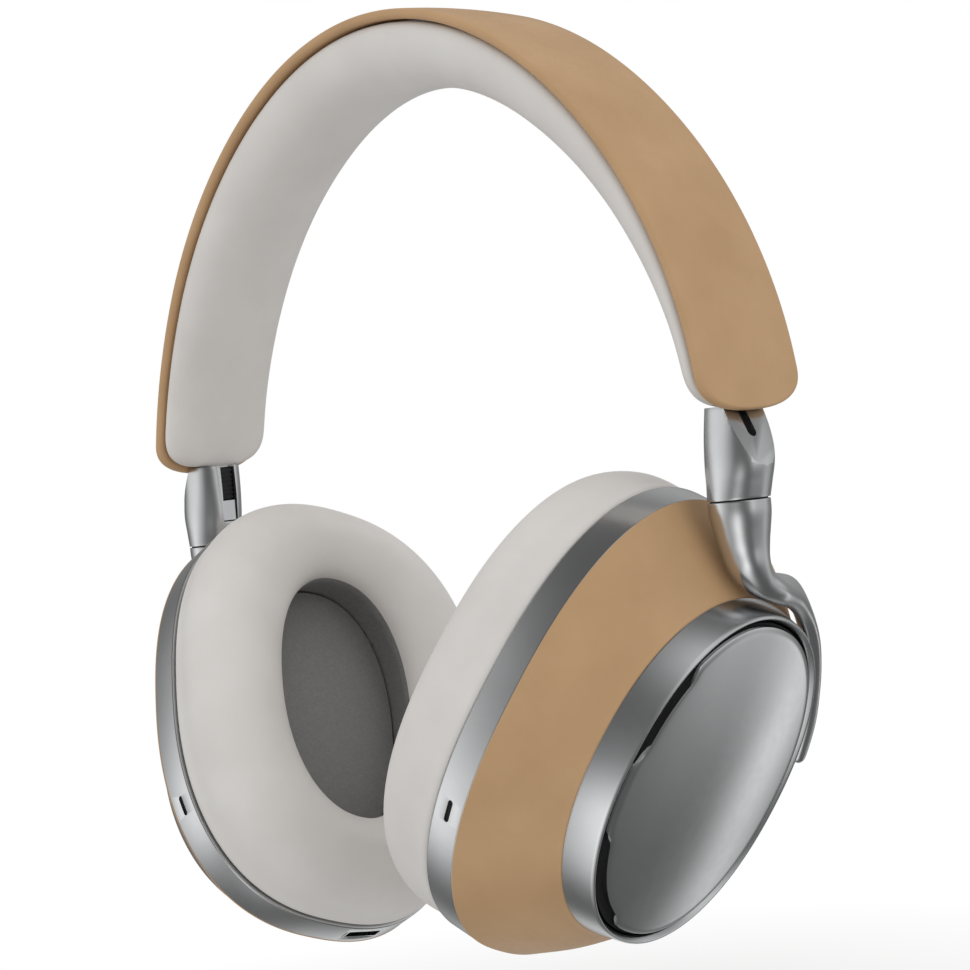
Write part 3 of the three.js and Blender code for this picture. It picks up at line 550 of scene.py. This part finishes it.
def headband_cushion():
    top = 2 * COVER_ROLL + GAP
    start = CUSHION_START
    rounding = CUSHION_END_ROUND
    rings = []
    for angle in arch_rows(96, 14, rounding, start):
        share = end_share(angle, rounding, start, CUSHION_END_POWER)[0]
        half = (band_half(angle) - CUSHION_EDGE) * share
        extra = CUSHION_END_EXTRA * (1 - math.sin(angle))
        deep = (band_thick(angle) + extra - top - CUSHION_SLACK) * (0.8 + 0.2 * share)
        ring = []
        for y in np.linspace(-0.93, 0.93, 9):
            ring.append((y * half, top))
        for k in range(25):
            y, down = oval(k / 24 * math.pi, half, deep * 0.86, 2.5)
            ring.append((y, top + deep * 0.14 + down))
        out = []
        for y, inset in ring:
            point = arch_point(angle, inset)
            point[1] += y
            out.append(point)
        rings.append(out)
    points, faces = skin(rings, False)
    obj = build("headband_cushion_soft", points, faces, sharp=80.0)
    count = len(rings[0])
    last = (len(rings) - 1) * count
    held = [i for i in range(last + count) if i % count < 9 or i < count or i >= last]
    inflate(obj, held, PRESSURE, CUSHION_SWELL)
    subdivide(obj)
    place(obj, "headband", "pale_leather", "headband_cushion")


def slider_housing(side):
    """The plastic guide inside the band's end, with its mouth drawn up behind the cushion."""
    up = np.array((-math.sin(SLIDE_LEAN), 0, math.cos(SLIDE_LEAN)))
    out = np.array((math.cos(SLIDE_LEAN), 0, math.sin(SLIDE_LEAN)))
    rings = []
    for along in np.linspace(GUIDE_FOOT, GUIDE_HEAD, 14):
        inner = BLADE_FOOT + up * along - out * GUIDE_BEHIND
        angle = math.asin(min(1.0, max(0.006, (inner[2] - ARCH_FOOT_Z) / ARCH_Z[0])))
        face = arch_point(angle, COVER_THICK + 2 * GAP + 0.3)
        corners = (
            (inner[0], -GUIDE_HALF),
            (face[0], -GUIDE_HALF),
            (face[0], GUIDE_HALF),
            (inner[0], GUIDE_HALF),
        )
        rings.append([np.array((x, inner[1] + y, inner[2])) for x, y in corners])
    obj = build(f"slider_guide_{side}", *skin(rings, False), side)
    room = prism("c", BLADE_FOOT, (out, np.array((0, 1.0, 0)), up), (0.9, 4.8), 60, side, 30)
    cut(obj, [room])
    place(obj, "headband", "dark_plastic", f"slider_housing_{side}")


# ---- upper arms ----
def bar_object(name, stations, side, rows, sides=40):
    """A bar lofted through (at, one, two, power) stations, smoothed between them."""
    flat = spline([np.concatenate((at, one, two, [n])) for at, one, two, n in stations], rows)
    rings = []
    for row in flat:
        at, one, two, n = row[:3], row[3:6], row[6:9], row[9]
        ring = []
        for k in range(sides):
            p, q = oval(k / sides * 2 * math.pi, 1, 1, n)
            ring.append(at + one * p + two * q)
        rings.append(ring)
    points, faces = skin(rings, False)
    return build(name, points, faces, side, sharp=45.0)


def arm_station(share, half_x, half_y, n, outwards):
    at = ARM_FOOT + (ARM_HEAD - ARM_FOOT) * share + np.array((outwards, 0, 0))
    return at, np.array((half_x, 0, 0.0)), np.array((0, half_y, 0.0)), n


def upper_arm(side):
    r = ARM_RADIUS
    obj = bar_object(
        f"upper_arm_shell_{side}",
        [
            arm_station(0, r, r, 2, 0),
            arm_station(0.18, r + 0.3, r, 2.1, 0.2),
            arm_station(0.4, r + 0.6, r, 2.3, 0.3),
            arm_station(0.7, r + 0.2, r - 0.2, 2.6, 0),
            arm_station(ARM_TOP_SHARE, r - 0.2, r - 0.4, 2.9, 0),
        ],
        side,
        30,
        56,
    )
    x_axis, y_axis, z_axis = np.eye(3)
    along = SCOOP_TOP - SCOOP_FOOT
    along /= np.linalg.norm(along)
    out = np.array((along[2], 0, -along[0]))
    on_scoop = SCOOP_FOOT + (SCOOP_TOP - SCOOP_FOOT) * 0.7
    scoop = prism("c", on_scoop + out * 10, (along, y_axis, out), (30, 20), 10, side, 40)
    channel_top = ARM_HEAD[2] + 3
    half = CHANNEL_WIDTH / 2
    box = ((-4, -half), (CHANNEL_DEPTH, -half), (CHANNEL_DEPTH, half), (-4, half))
    w, d, t = half + 0.05, CHANNEL_DEPTH + 0.05, 0.3
    lining = (
        (0.5, -w),
        (d, -w),
        (d, w),
        (0.5, w),
        (0.5, w - t),
        (d - t, w - t),
        (d - t, t - w),
        (0.5, t - w),
    )
    solids = []
    for name, corners, top in (("c", box, channel_top), (f"arm_channel_lining_{side}", lining, ARM_HEAD[2])):
        rings = []
        for z in (CHANNEL_FOOT_Z, top):
            at = ARM_FOOT + (ARM_HEAD - ARM_FOOT) * (z - ARM_FOOT[2]) / (ARM_HEAD[2] - ARM_FOOT[2])
            x = at[0] - ARM_RADIUS
            rings.append([np.array((x + dx, at[1] + dy, z)) for dx, dy in corners])
        solids.append(build(name, *skin(rings, False), side))
    channel, channel_lining = solids
    slot_at = SCOOP_TOP + np.array((0, (ARM_FOOT[1] + ARM_HEAD[1]) / 2, 0))
    slot_at = slot_at - along * ARM_SLOT_DROP
    slot = prism("c", slot_at, (along, y_axis, out), ARM_SLOT, 2.4, side, 0)
    screw_at = np.array((ARM_FOOT[0] - ARM_RADIUS, ARM_FOOT[1] + 0.1, ARM_FOOT[2] + 2.6))
    screw_axes = (y_axis, z_axis, x_axis)
    screw = prism("c", screw_at, screw_axes, ARM_SCREW, 1.4, side, 2)
    cut(obj, [scoop, channel, slot, screw])
    bevel(obj, 0.16)
    place(channel_lining, f"arm_{side}", "black_mesh")
    place(obj, f"arm_{side}", "satin_aluminium", f"upper_arm_{side}")
    name, at = f"arm_slot_lining_{side}", slot_at - out * 1.7
    slot_fill = prism(name, at, (along, y_axis, out), ARM_SLOT_LINING, 0.65, side, 0)
    place(slot_fill, f"arm_{side}", "black_mesh")
    name, at = f"arm_screw_{side}", screw_at + x_axis * 1.0
    screw_fill = prism(name, at, screw_axes, ARM_SCREW_FILL, 0.3, side, 2)
    place(screw_fill, f"arm_{side}", "black_cable")


# ---- yokes ----
def yoke_station(degrees, out, standoff, lean, half_width, half_thick):
    angle, tip = math.radians(degrees), math.radians(lean)
    a, b = POD_A + standoff, POD_B + standoff
    radial = np.array((0, b * math.cos(angle), a * math.sin(angle)))
    radial /= np.linalg.norm(radial)
    at = np.array((out, COVER_TOP_REAR + a * math.cos(angle), b * math.sin(angle)))
    hint = np.array((math.cos(tip), 0, 0)) - radial * math.sin(tip)
    return {"at": at, "hint": hint, "size": (half_width, half_thick), "n": 2.7}


def squared(stations):
    """Stations with their section axes set square to the path, as bar stations."""
    out = []
    for i, s in enumerate(stations):
        before = stations[max(0, i - 1)]["at"]
        after = stations[min(len(stations) - 1, i + 1)]["at"]
        tangent = s.get("tangent")
        if tangent is None:
            tangent = (after - before) / np.linalg.norm(after - before)
        two = np.cross(s["hint"], tangent)
        two /= np.linalg.norm(two)
        one = np.cross(tangent, two)
        out.append((s["at"], one * s["size"][0], two * s["size"][1], s["n"]))
    return out


def yoke(side):
    foot = into_cup(ARM_FOOT)
    down = np.array((0, 0, -1.0)) @ CUP_TURN
    out = np.array((1.0, 0, 0)) @ CUP_TURN
    along_bar = np.array((0.84, 0, -0.53))
    stations = [
        {"at": foot + down * drop, "hint": out, "tangent": down, "size": (radius, radius), "n": 2.0}
        for drop, radius in ((GAP, ARM_RADIUS), (3, ARM_RADIUS - 0.1), (6.2, ARM_RADIUS - 0.6))
    ]
    for x, y, z, turn, width, thick, n in (
        (80.2, -3.5, 1.6, 0.3, 5.0, 4.9, 2.0),
        (80.5, -3.0, -2.0, 0.5, 4.5, 4.1, 2.1),
        (80.6, -0.9, -4.9, 0.5, 4.0, 3.3, 2.2),
        (80.3, 3.6, -6.9, 0.6, 3.8, 2.7, 2.4),
    ):
        hint = out + (along_bar - out) * turn
        stations.append({"at": into_cup((x, y, z)), "hint": hint, "size": (width, thick), "n": n})
    for station in (
        (86, 17.2, 3.6, 32, 3.6, 2.3),
        (73, 16.6, 3.3, 29, 3, 1.9),
        (60, 16.3, 3.3, 25, 2.9, 1.8),
        (48, 16, 3.4, 20, 2.8, 1.9),
        (37, 15.9, 3.7, 15, 2.9, 1.9),
        (27, 15.8, 4.1, 10, 3.2, 1.9),
        (17, 15.7, 4.4, 6, 3.2, 1.8),
        (14.5, 15.7, 4.4, 6, 2.6, 1.4),
    ):
        stations.append(yoke_station(*station))
    bars = []
    for at, one, two, n in squared(stations):
        bars.append((from_cup(at), one @ CUP_TURN.T, two @ CUP_TURN.T, n))
    obj = bar_object(f"yoke_bar_{side}", bars, side, 110, 40)
    bevel(obj, 0.22, 60.0)
    place(obj, f"yoke_{side}", "satin_aluminium", f"yoke_{side}")
    seam = ARM_FOOT - np.array((0, 0, GAP / 2))
    half = (WASHER_RADIUS, WASHER_RADIUS)
    washer = prism(f"swivel_washer_{side}", seam, np.eye(3), half, WASHER_HALF, side, 2, 48)
    place(washer, f"yoke_{side}", "black_mesh")


# ---- ear cups ----
def edge_place(angle, x):
    def at(t):
        y, z = oval(t, CUP_A, CUP_B, CUP_POWER)
        return np.array((x, y, z))

    tangent = at(angle + 1e-3) - at(angle - 1e-3)
    tangent /= np.linalg.norm(tangent)
    across = np.array((1.0, 0, 0))
    return at(angle), np.cross(tangent, across), tangent, across


def edge_prism(name, where, half, depth, sink, side, power_n=6.0):
    """A rounded bar set square to the cup's edge: half sizes along and across it, sunk inwards."""
    at, normal, tangent, across = where
    axes = [v @ CUP_TURN.T for v in (tangent, across, normal)]
    return prism(name, from_cup(at - normal * sink), axes, half, depth, side, power_n)


def keys_of(side):
    return LEFT_KEYS if side == "left" else RIGHT_KEYS


def trim_ring(side):
    a, b, n = CUP_A, CUP_B, CUP_POWER
    section = filleted(
        [
            (-RING_DEPTH, a - 0.1, b - 0.1, n, 0),
            (0, a - 0.1, b - 0.1, n, 0),
            (0, a - RING_WALL, b - RING_WALL, n, 0),
            (-RING_DEPTH, a - RING_WALL, b - RING_WALL, n, 0),
        ],
        0.35,
    )
    obj = ring_object(f"trim_ring_band_{side}", section, side)
    level = -RING_DEPTH / 2
    mic = edge_place(MIC_ANGLE, level)
    cutters = [edge_prism("c", mic, (2.2, 0.6), 1.2, 0, side, 0)]
    for angle in keys_of(side).values():
        size = (BUTTON_LENGTH / 2 + GAP, BUTTON_WIDTH / 2 + GAP)
        cutters.append(edge_prism("c", edge_place(angle, level), size, 6, 1, side))
    if side == "right":
        size = (PORT_WIDTH / 2 + GAP, PORT_HEIGHT / 2 + GAP)
        cutters.append(edge_prism("c", edge_place(PORT_ANGLE, level), size, 6, 1, side, 5))
    cut(obj, cutters)
    bevel(obj, 0.12)
    place(obj, f"cup_{side}", "satin_aluminium", f"trim_ring_{side}")
    lining = edge_prism(f"mic_mesh_{side}", mic, (2.15, 0.57), 0.3, 0.8, side, 0)
    place(lining, f"cup_{side}", "black_mesh")


def ear_cover(side):
    mid_a, mid_b = (CUP_A + POD_A) / 2 + 0.2, (CUP_B + POD_B) / 2 + 0.8
    outer = spline(
        [
            (0.05, CUP_A - 0.05, CUP_B - 0.05, CUP_POWER, 0),
            (0.5 * COVER_TOP, mid_a, mid_b, 2.3, 0.5 * COVER_TOP_REAR),
            (COVER_TOP, POD_A, POD_B, POD_POWER, COVER_TOP_REAR),
        ],
        21,
    ).tolist()
    rolls = []
    for row, sign in ((outer[0], -1), (outer[-1], 1)):
        edge = []
        for t in (0.25, 0.5, 0.75, 1.0):
            turn = t * math.pi / 2
            into = 0.7 * (1 - math.cos(turn))
            edge.append([row[0] + sign * 0.35 * math.sin(turn), row[1] - into, row[2] - into, row[3], row[4]])
        rolls.append(edge)
    inner = [[r[0], r[1] - COVER_WALL - 0.5, r[2] - COVER_WALL - 0.5, r[3], r[4]] for r in outer]
    section = rolls[0][::-1] + outer + rolls[1] + inner[::-1]
    obj = ring_object(f"ear_cover_leather_{side}", section, side)
    place(obj, f"cup_{side}", "tan_leather", f"ear_cover_{side}")


def pod_rear(x):
    share = (x - COVER_TOP) / (POD_TOP - COVER_TOP)
    return COVER_TOP_REAR + (POD_TOP_REAR - COVER_TOP_REAR) * share


def pod_level(x, a, b):
    return (x, a, b, POD_POWER, pod_rear(x))


def pod_ring(side):
    foot, ledge = COVER_TOP + GAP, POD_TOP - 1.2
    section = filleted(
        [
            pod_level(foot, POD_A - 0.2, POD_B - 0.2),
            pod_level(POD_TOP - 0.5, RIM_A + 0.55, RIM_B + 0.5),
            pod_level(POD_TOP, RIM_A, RIM_B),
            pod_level(ledge, RIM_A - 0.9, RIM_B - 0.9),
            pod_level(ledge - 1.5, RIM_A - 1.2, RIM_B - 1.2),
            pod_level(foot, POD_A - 3.2, POD_B - 3.2),
        ],
        0.35,
    )
    obj = ring_object(f"pod_ring_band_{side}", section, side)
    place(obj, f"cup_{side}", "satin_aluminium", f"pod_ring_{side}")


def vent_mesh(side):
    high, low = POD_TOP - 1.3, POD_TOP - 2.6
    a, b = RIM_A - 1.35, RIM_B - 1.35
    section = [
        pod_level(high, a, b),
        pod_level(high, DISC_A - 3, DISC_B - 3),
        pod_level(low, DISC_A - 3, DISC_B - 3),
        pod_level(low, a, b),
    ]
    obj = ring_object(f"vent_mesh_band_{side}", section, side)
    place(obj, f"cup_{side}", "black_mesh", f"vent_mesh_{side}")


def slot_share(angle):
    """How open the vent slots are at an angle: 0 or 1, with short ramps."""
    degrees = math.degrees(angle) % 360
    best = 0.0
    for start, end in VENT_SLOTS:
        inside = min(degrees - start, end - degrees)
        best = max(best, min(1.0, max(0.0, inside / VENT_RAMP)))
    return best * best * (3 - 2 * best)


def slotted(angle, level):
    """A disc level narrowed where a vent slot is open, which fades quickly inwards from the rim."""
    x, a, b, n, rear = level
    share = a / DISC_A
    narrower = VENT_WIDTH * slot_share(angle) * share**VENT_FADE
    return (x, a - narrower, b - narrower, n, rear)


def disc_plate(side):
    base = POD_TOP - 1.2
    top = base + 1.5
    levels = [
        pod_level(base - 0.6, DISC_A - 0.6, DISC_B - 0.6),
        pod_level(base + 0.4, DISC_A + 0.2, DISC_B + 0.2),
        pod_level(base + 0.9, DISC_A + 0.1, DISC_B + 0.1),
        pod_level(base + 1.2, DISC_A - 0.35, DISC_B - 0.35),
    ]
    for t in np.linspace(0.03, 0.985, 40):
        share = 1 - t
        rise = DISC_DOME * (1 - share**2.0)
        levels.append(pod_level(top + rise - 0.25, (DISC_A - 0.35) * share, (DISC_B - 0.35) * share))
    obj = plate_object(f"disc_plate_face_{side}", levels, side, trim=slotted)
    place(obj, f"cup_{side}", "polished_aluminium", f"disc_plate_{side}")


def ear_pad(side):
    back = -RING_DEPTH - GAP
    crest = back - PAD_DEPTH
    n = 2.35
    outline = [
        (back, CUP_A - 0.9, CUP_B - 0.9, CUP_POWER),
        (back - 1.2, CUP_A - 0.4, CUP_B - 0.5, CUP_POWER),
        (back - 3.4, CUP_A + 0.6 - PAD_SLACK, CUP_B - 0.1 - PAD_SLACK, CUP_POWER),
        (back - 9, CUP_A + 1.6 - PAD_SLACK, CUP_B - PAD_SLACK, n),
        (back - 14.5, CUP_A - 0.3 - PAD_SLACK, CUP_B - 2.4 - PAD_SLACK, n),
        (crest + 1.9, CUP_A - 5, CUP_B - 7.4, n),
        (crest + PAD_SLACK, CUP_A - 10.5, CUP_B - 11.5, n),
        (crest + 1.6 + PAD_SLACK, PAD_HOLE_A + 5.4, PAD_HOLE_B + 4.8, 2.2),
        (crest + 5.4, PAD_HOLE_A + 1.6, PAD_HOLE_B + 1.4, 2.2),
        (crest + 9, PAD_HOLE_A + 0.5, PAD_HOLE_B + 0.5, 2.2),
        (crest + 13, PAD_HOLE_A + 1.6, PAD_HOLE_B + 1.6, 2.2),
        (back, PAD_HOLE_A + 2.5, PAD_HOLE_B + 2.5, 2.2),
    ]
    rows = 44
    section = [tuple(r) + (0.0,) for r in spline(outline, rows)]
    steps = 120
    rings = [[level_point(i / steps * 2 * math.pi, lv) for lv in section] for i in range(steps)]
    points, faces = skin(rings, True)
    obj = build(f"ear_pad_soft_{side}", from_cup(points), faces, side, sharp=80.0)
    wall_row = 34
    held = [i * rows + k for i in range(steps) for k in range(rows) if k < 5 or k >= wall_row]
    inflate(obj, held, PRESSURE, PAD_SWELL)
    obj.data.materials.append(MATERIALS["pale_leather"])
    obj.data.materials.append(MATERIALS["grey_fabric"])
    for index, face in enumerate(obj.data.polygons):
        if wall_row <= index % rows < rows - 1:
            face.material_index = 1
    subdivide(obj)
    place(obj, f"cup_{side}", "pale_leather", f"ear_pad_{side}")


def ear_liner(side):
    """The fabric over the drive unit, stretched over its frame inside the pad's opening."""
    a, b, n = PAD_HOLE_A + LINER_LAP, PAD_HOLE_B + LINER_LAP, 2.2
    middle = -RING_DEPTH - 2.6
    levels = []
    for face, order in ((-1, 1), (1, -1)):
        shares = np.linspace(0.02, 1.0, 24)[::order]
        for share in shares:
            bulge = LINER_BULGE * (1 - share**2)
            levels.append((middle - bulge + face * LINER_THICK / 2, a * share, b * share, n, 0.0))
    obj = plate_object(f"ear_liner_fabric_{side}", levels, side, steps=120)
    place(obj, f"cup_{side}", "grey_fabric", f"ear_liner_{side}")


headband_cover()
headband_cushion()
for which in ("left", "right"):
    slider_housing(which)
    upper_arm(which)
    yoke(which)
    trim_ring(which)
    ear_cover(which)
    pod_ring(which)
    vent_mesh(which)
    disc_plate(which)
    ear_pad(which)
    ear_liner(which)


# ---- floor, lights and camera ----
# The floor lies this far below the object at rest, in metres, so that the extended arms clear it.
FLOOR_DROP = 0.028


def floor():
    mesh = bpy.data.meshes.new("studio_floor")
    bm = bmesh.new()
    bmesh.ops.create_circle(bm, cap_ends=True, segments=96, radius=4.0)
    bm.to_mesh(mesh)
    bm.free()
    obj = bpy.data.objects.new("studio_floor", mesh)
    obj.location.z = CAD_BOX[0][2] - FLOOR_DROP
    bpy.context.scene.collection.objects.link(obj)
    n = Nodes("studio_floor")
    length = n.add("ShaderNodeVectorMath", {0: n.coords}, operation="LENGTH").outputs["Value"]
    inputs = {"Value": length, "From Min": 0.02, "From Max": 0.18, "To Min": 0.0, "To Max": 1.0}
    far = n.add("ShaderNodeMapRange", inputs).outputs["Result"]
    n.put(Base_Color=(0.9, 0.9, 0.9, 1.0), Roughness=0.8, Specular_IOR_Level=0.1)
    glow = n.add("ShaderNodeEmission", {"Color": (1, 1, 1, 1), "Strength": 1.0}).outputs[0]
    mix = n.add("ShaderNodeMixShader", {0: far, 1: n.shader.outputs[0], 2: glow})
    n.tree.links.new(mix.outputs[0], n.tree.nodes["Material Output"].inputs["Surface"])
    obj.data.materials.append(n.material)
    obj.visible_glossy = obj.visible_diffuse = False


def area_light(name, at, towards, size, energy):
    data = bpy.data.lights.new(name, "AREA")
    data.shape = "RECTANGLE"
    data.size, data.size_y = size
    data.energy = energy
    obj = bpy.data.objects.new(name, data)
    obj.location = at
    obj.visible_glossy = False
    obj.rotation_euler = (Vector(towards) - Vector(at)).to_track_quat("-Z", "Y").to_euler()
    bpy.context.scene.collection.objects.link(obj)


# The surroundings that the metal mirrors: soft glows at (azimuth, elevation, spread, strength), with
# azimuth 0 towards -Y and 90 towards +X, in degrees.
GLOWS = (
    (-48, 6, 20, 0.75),
    (-44, -10, 14, 0.5),
    (-14, 2, 11, 0.25),
    (28, -22, 10, 0.6),
    (20, -30, 15, 0.8),
    (4, -52, 15, 0.7),
    (88, 2, 9, 0.7),
    (112, 6, 15, 0.55),
    (147, 8, 15, 0.6),
    (82, 34, 15, 0.8),
    (-131, -40, 13, 0.8),
    (-152, 30, 24, 0.35),
    (164, -22, 4.5, 0.7),
    (170, -29, 4.0, 0.8),
    (178, -36, 4.5, 0.7),
    (146, -24, 8, 0.45),
)
GLOW_BASE = 0.13
SKY_ABOVE, SKY_BELOW = 0.82, 0.62


def direction(azimuth, elevation):
    a, e = math.radians(azimuth), math.radians(elevation)
    return (math.sin(a) * math.cos(e), -math.cos(a) * math.cos(e), math.sin(e))


def world():
    """White to the eye, soft glows to what is glossy, and a plain sky, dimmer below, to what is matt."""
    w = bpy.data.worlds.new("studio")
    bpy.context.scene.world = w
    w.use_nodes = True
    w.cycles.sampling_method = "NONE"
    tree = w.node_tree
    tree.nodes.clear()

    def add(kind, *inputs, **settings):
        node = tree.nodes.new(kind)
        for key, value in settings.items():
            setattr(node, key, value)
        for key, value in enumerate(inputs):
            if isinstance(value, bpy.types.NodeSocket):
                tree.links.new(value, node.inputs[key])
            elif value is not None:
                node.inputs[key].default_value = value
        return node

    def maths(operation, *inputs):
        return add("ShaderNodeMath", *inputs, operation=operation).outputs[0]

    looking = add("ShaderNodeTexCoord").outputs["Generated"]
    total = None
    for azimuth, elevation, spread, strength in GLOWS:
        dot = add("ShaderNodeVectorMath", looking, direction(azimuth, elevation), operation="DOT_PRODUCT")
        fall = maths("MULTIPLY", maths("SUBTRACT", dot.outputs["Value"], 1.0), 1 / math.radians(spread) ** 2)
        glow = maths("MULTIPLY", maths("EXPONENT", fall), strength)
        total = maths("ADD", total, glow) if total else maths("ADD", glow, GLOW_BASE)
    height = add("ShaderNodeSeparateXYZ", looking).outputs["Z"]
    sky = add("ShaderNodeMapRange", height, -1.0, 1.0, SKY_BELOW, SKY_ABOVE).outputs[0]
    path = add("ShaderNodeLightPath")
    white = (1.0, 1.0, 1.0, 1.0)
    matt = add("ShaderNodeBackground", white, sky)
    glossy = add("ShaderNodeBackground", white, total)
    seen = add("ShaderNodeBackground", white, 1.0)
    lit = add("ShaderNodeMixShader", path.outputs["Is Glossy Ray"], matt.outputs[0], glossy.outputs[0])
    final = add("ShaderNodeMixShader", path.outputs["Is Camera Ray"], lit.outputs[0], seen.outputs[0])
    tree.links.new(final.outputs[0], add("ShaderNodeOutputWorld").inputs["Surface"])


CAMERA_TARGET = np.array((0.0, 7.502, -85.162)) * MM
CAMERA_AZIMUTH, CAMERA_ELEVATION, CAMERA_ROLL = (math.radians(v) for v in (45.0, 0.38, -6.049))
CAMERA_DISTANCE = 0.596268
CAMERA_LENS = 101.68


def camera():
    a, e, r = CAMERA_AZIMUTH, CAMERA_ELEVATION, CAMERA_ROLL
    back = Vector((math.sin(a) * math.cos(e), -math.cos(a) * math.cos(e), math.sin(e)))
    right = Vector((math.cos(a), math.sin(a), 0))
    up = back.cross(right)
    turned_right = right * math.cos(r) + up * math.sin(r)
    turned_up = -right * math.sin(r) + up * math.cos(r)
    data = bpy.data.cameras.new("camera")
    data.lens = CAMERA_LENS
    data.sensor_width = 36.0
    data.clip_start = 0.01
    obj = bpy.data.objects.new("camera", data)
    turn = Matrix((turned_right, turned_up, back)).transposed().to_4x4()
    obj.matrix_world = Matrix.Translation(Vector(CAMERA_TARGET) + back * CAMERA_DISTANCE) @ turn
    bpy.context.scene.collection.objects.link(obj)
    bpy.context.scene.camera = obj


floor()
world()
camera()
MIDDLE = (0, 0, -0.09)
area_light("key_left", (-0.35, -1.05, 0.45), MIDDLE, (0.7, 1.0), 2.0)
area_light("side_right", (1.15, -0.1, 0.15), MIDDLE, (0.5, 1.1), 1.8)
area_light("overhead", (0.0, 0.25, 1.0), MIDDLE, (1.0, 0.5), 1.8)
area_light("rear_left", (-0.9, 0.5, 0.1), MIDDLE, (0.4, 1.0), 1.0)
bpy.context.scene.view_settings.view_transform = "Standard"
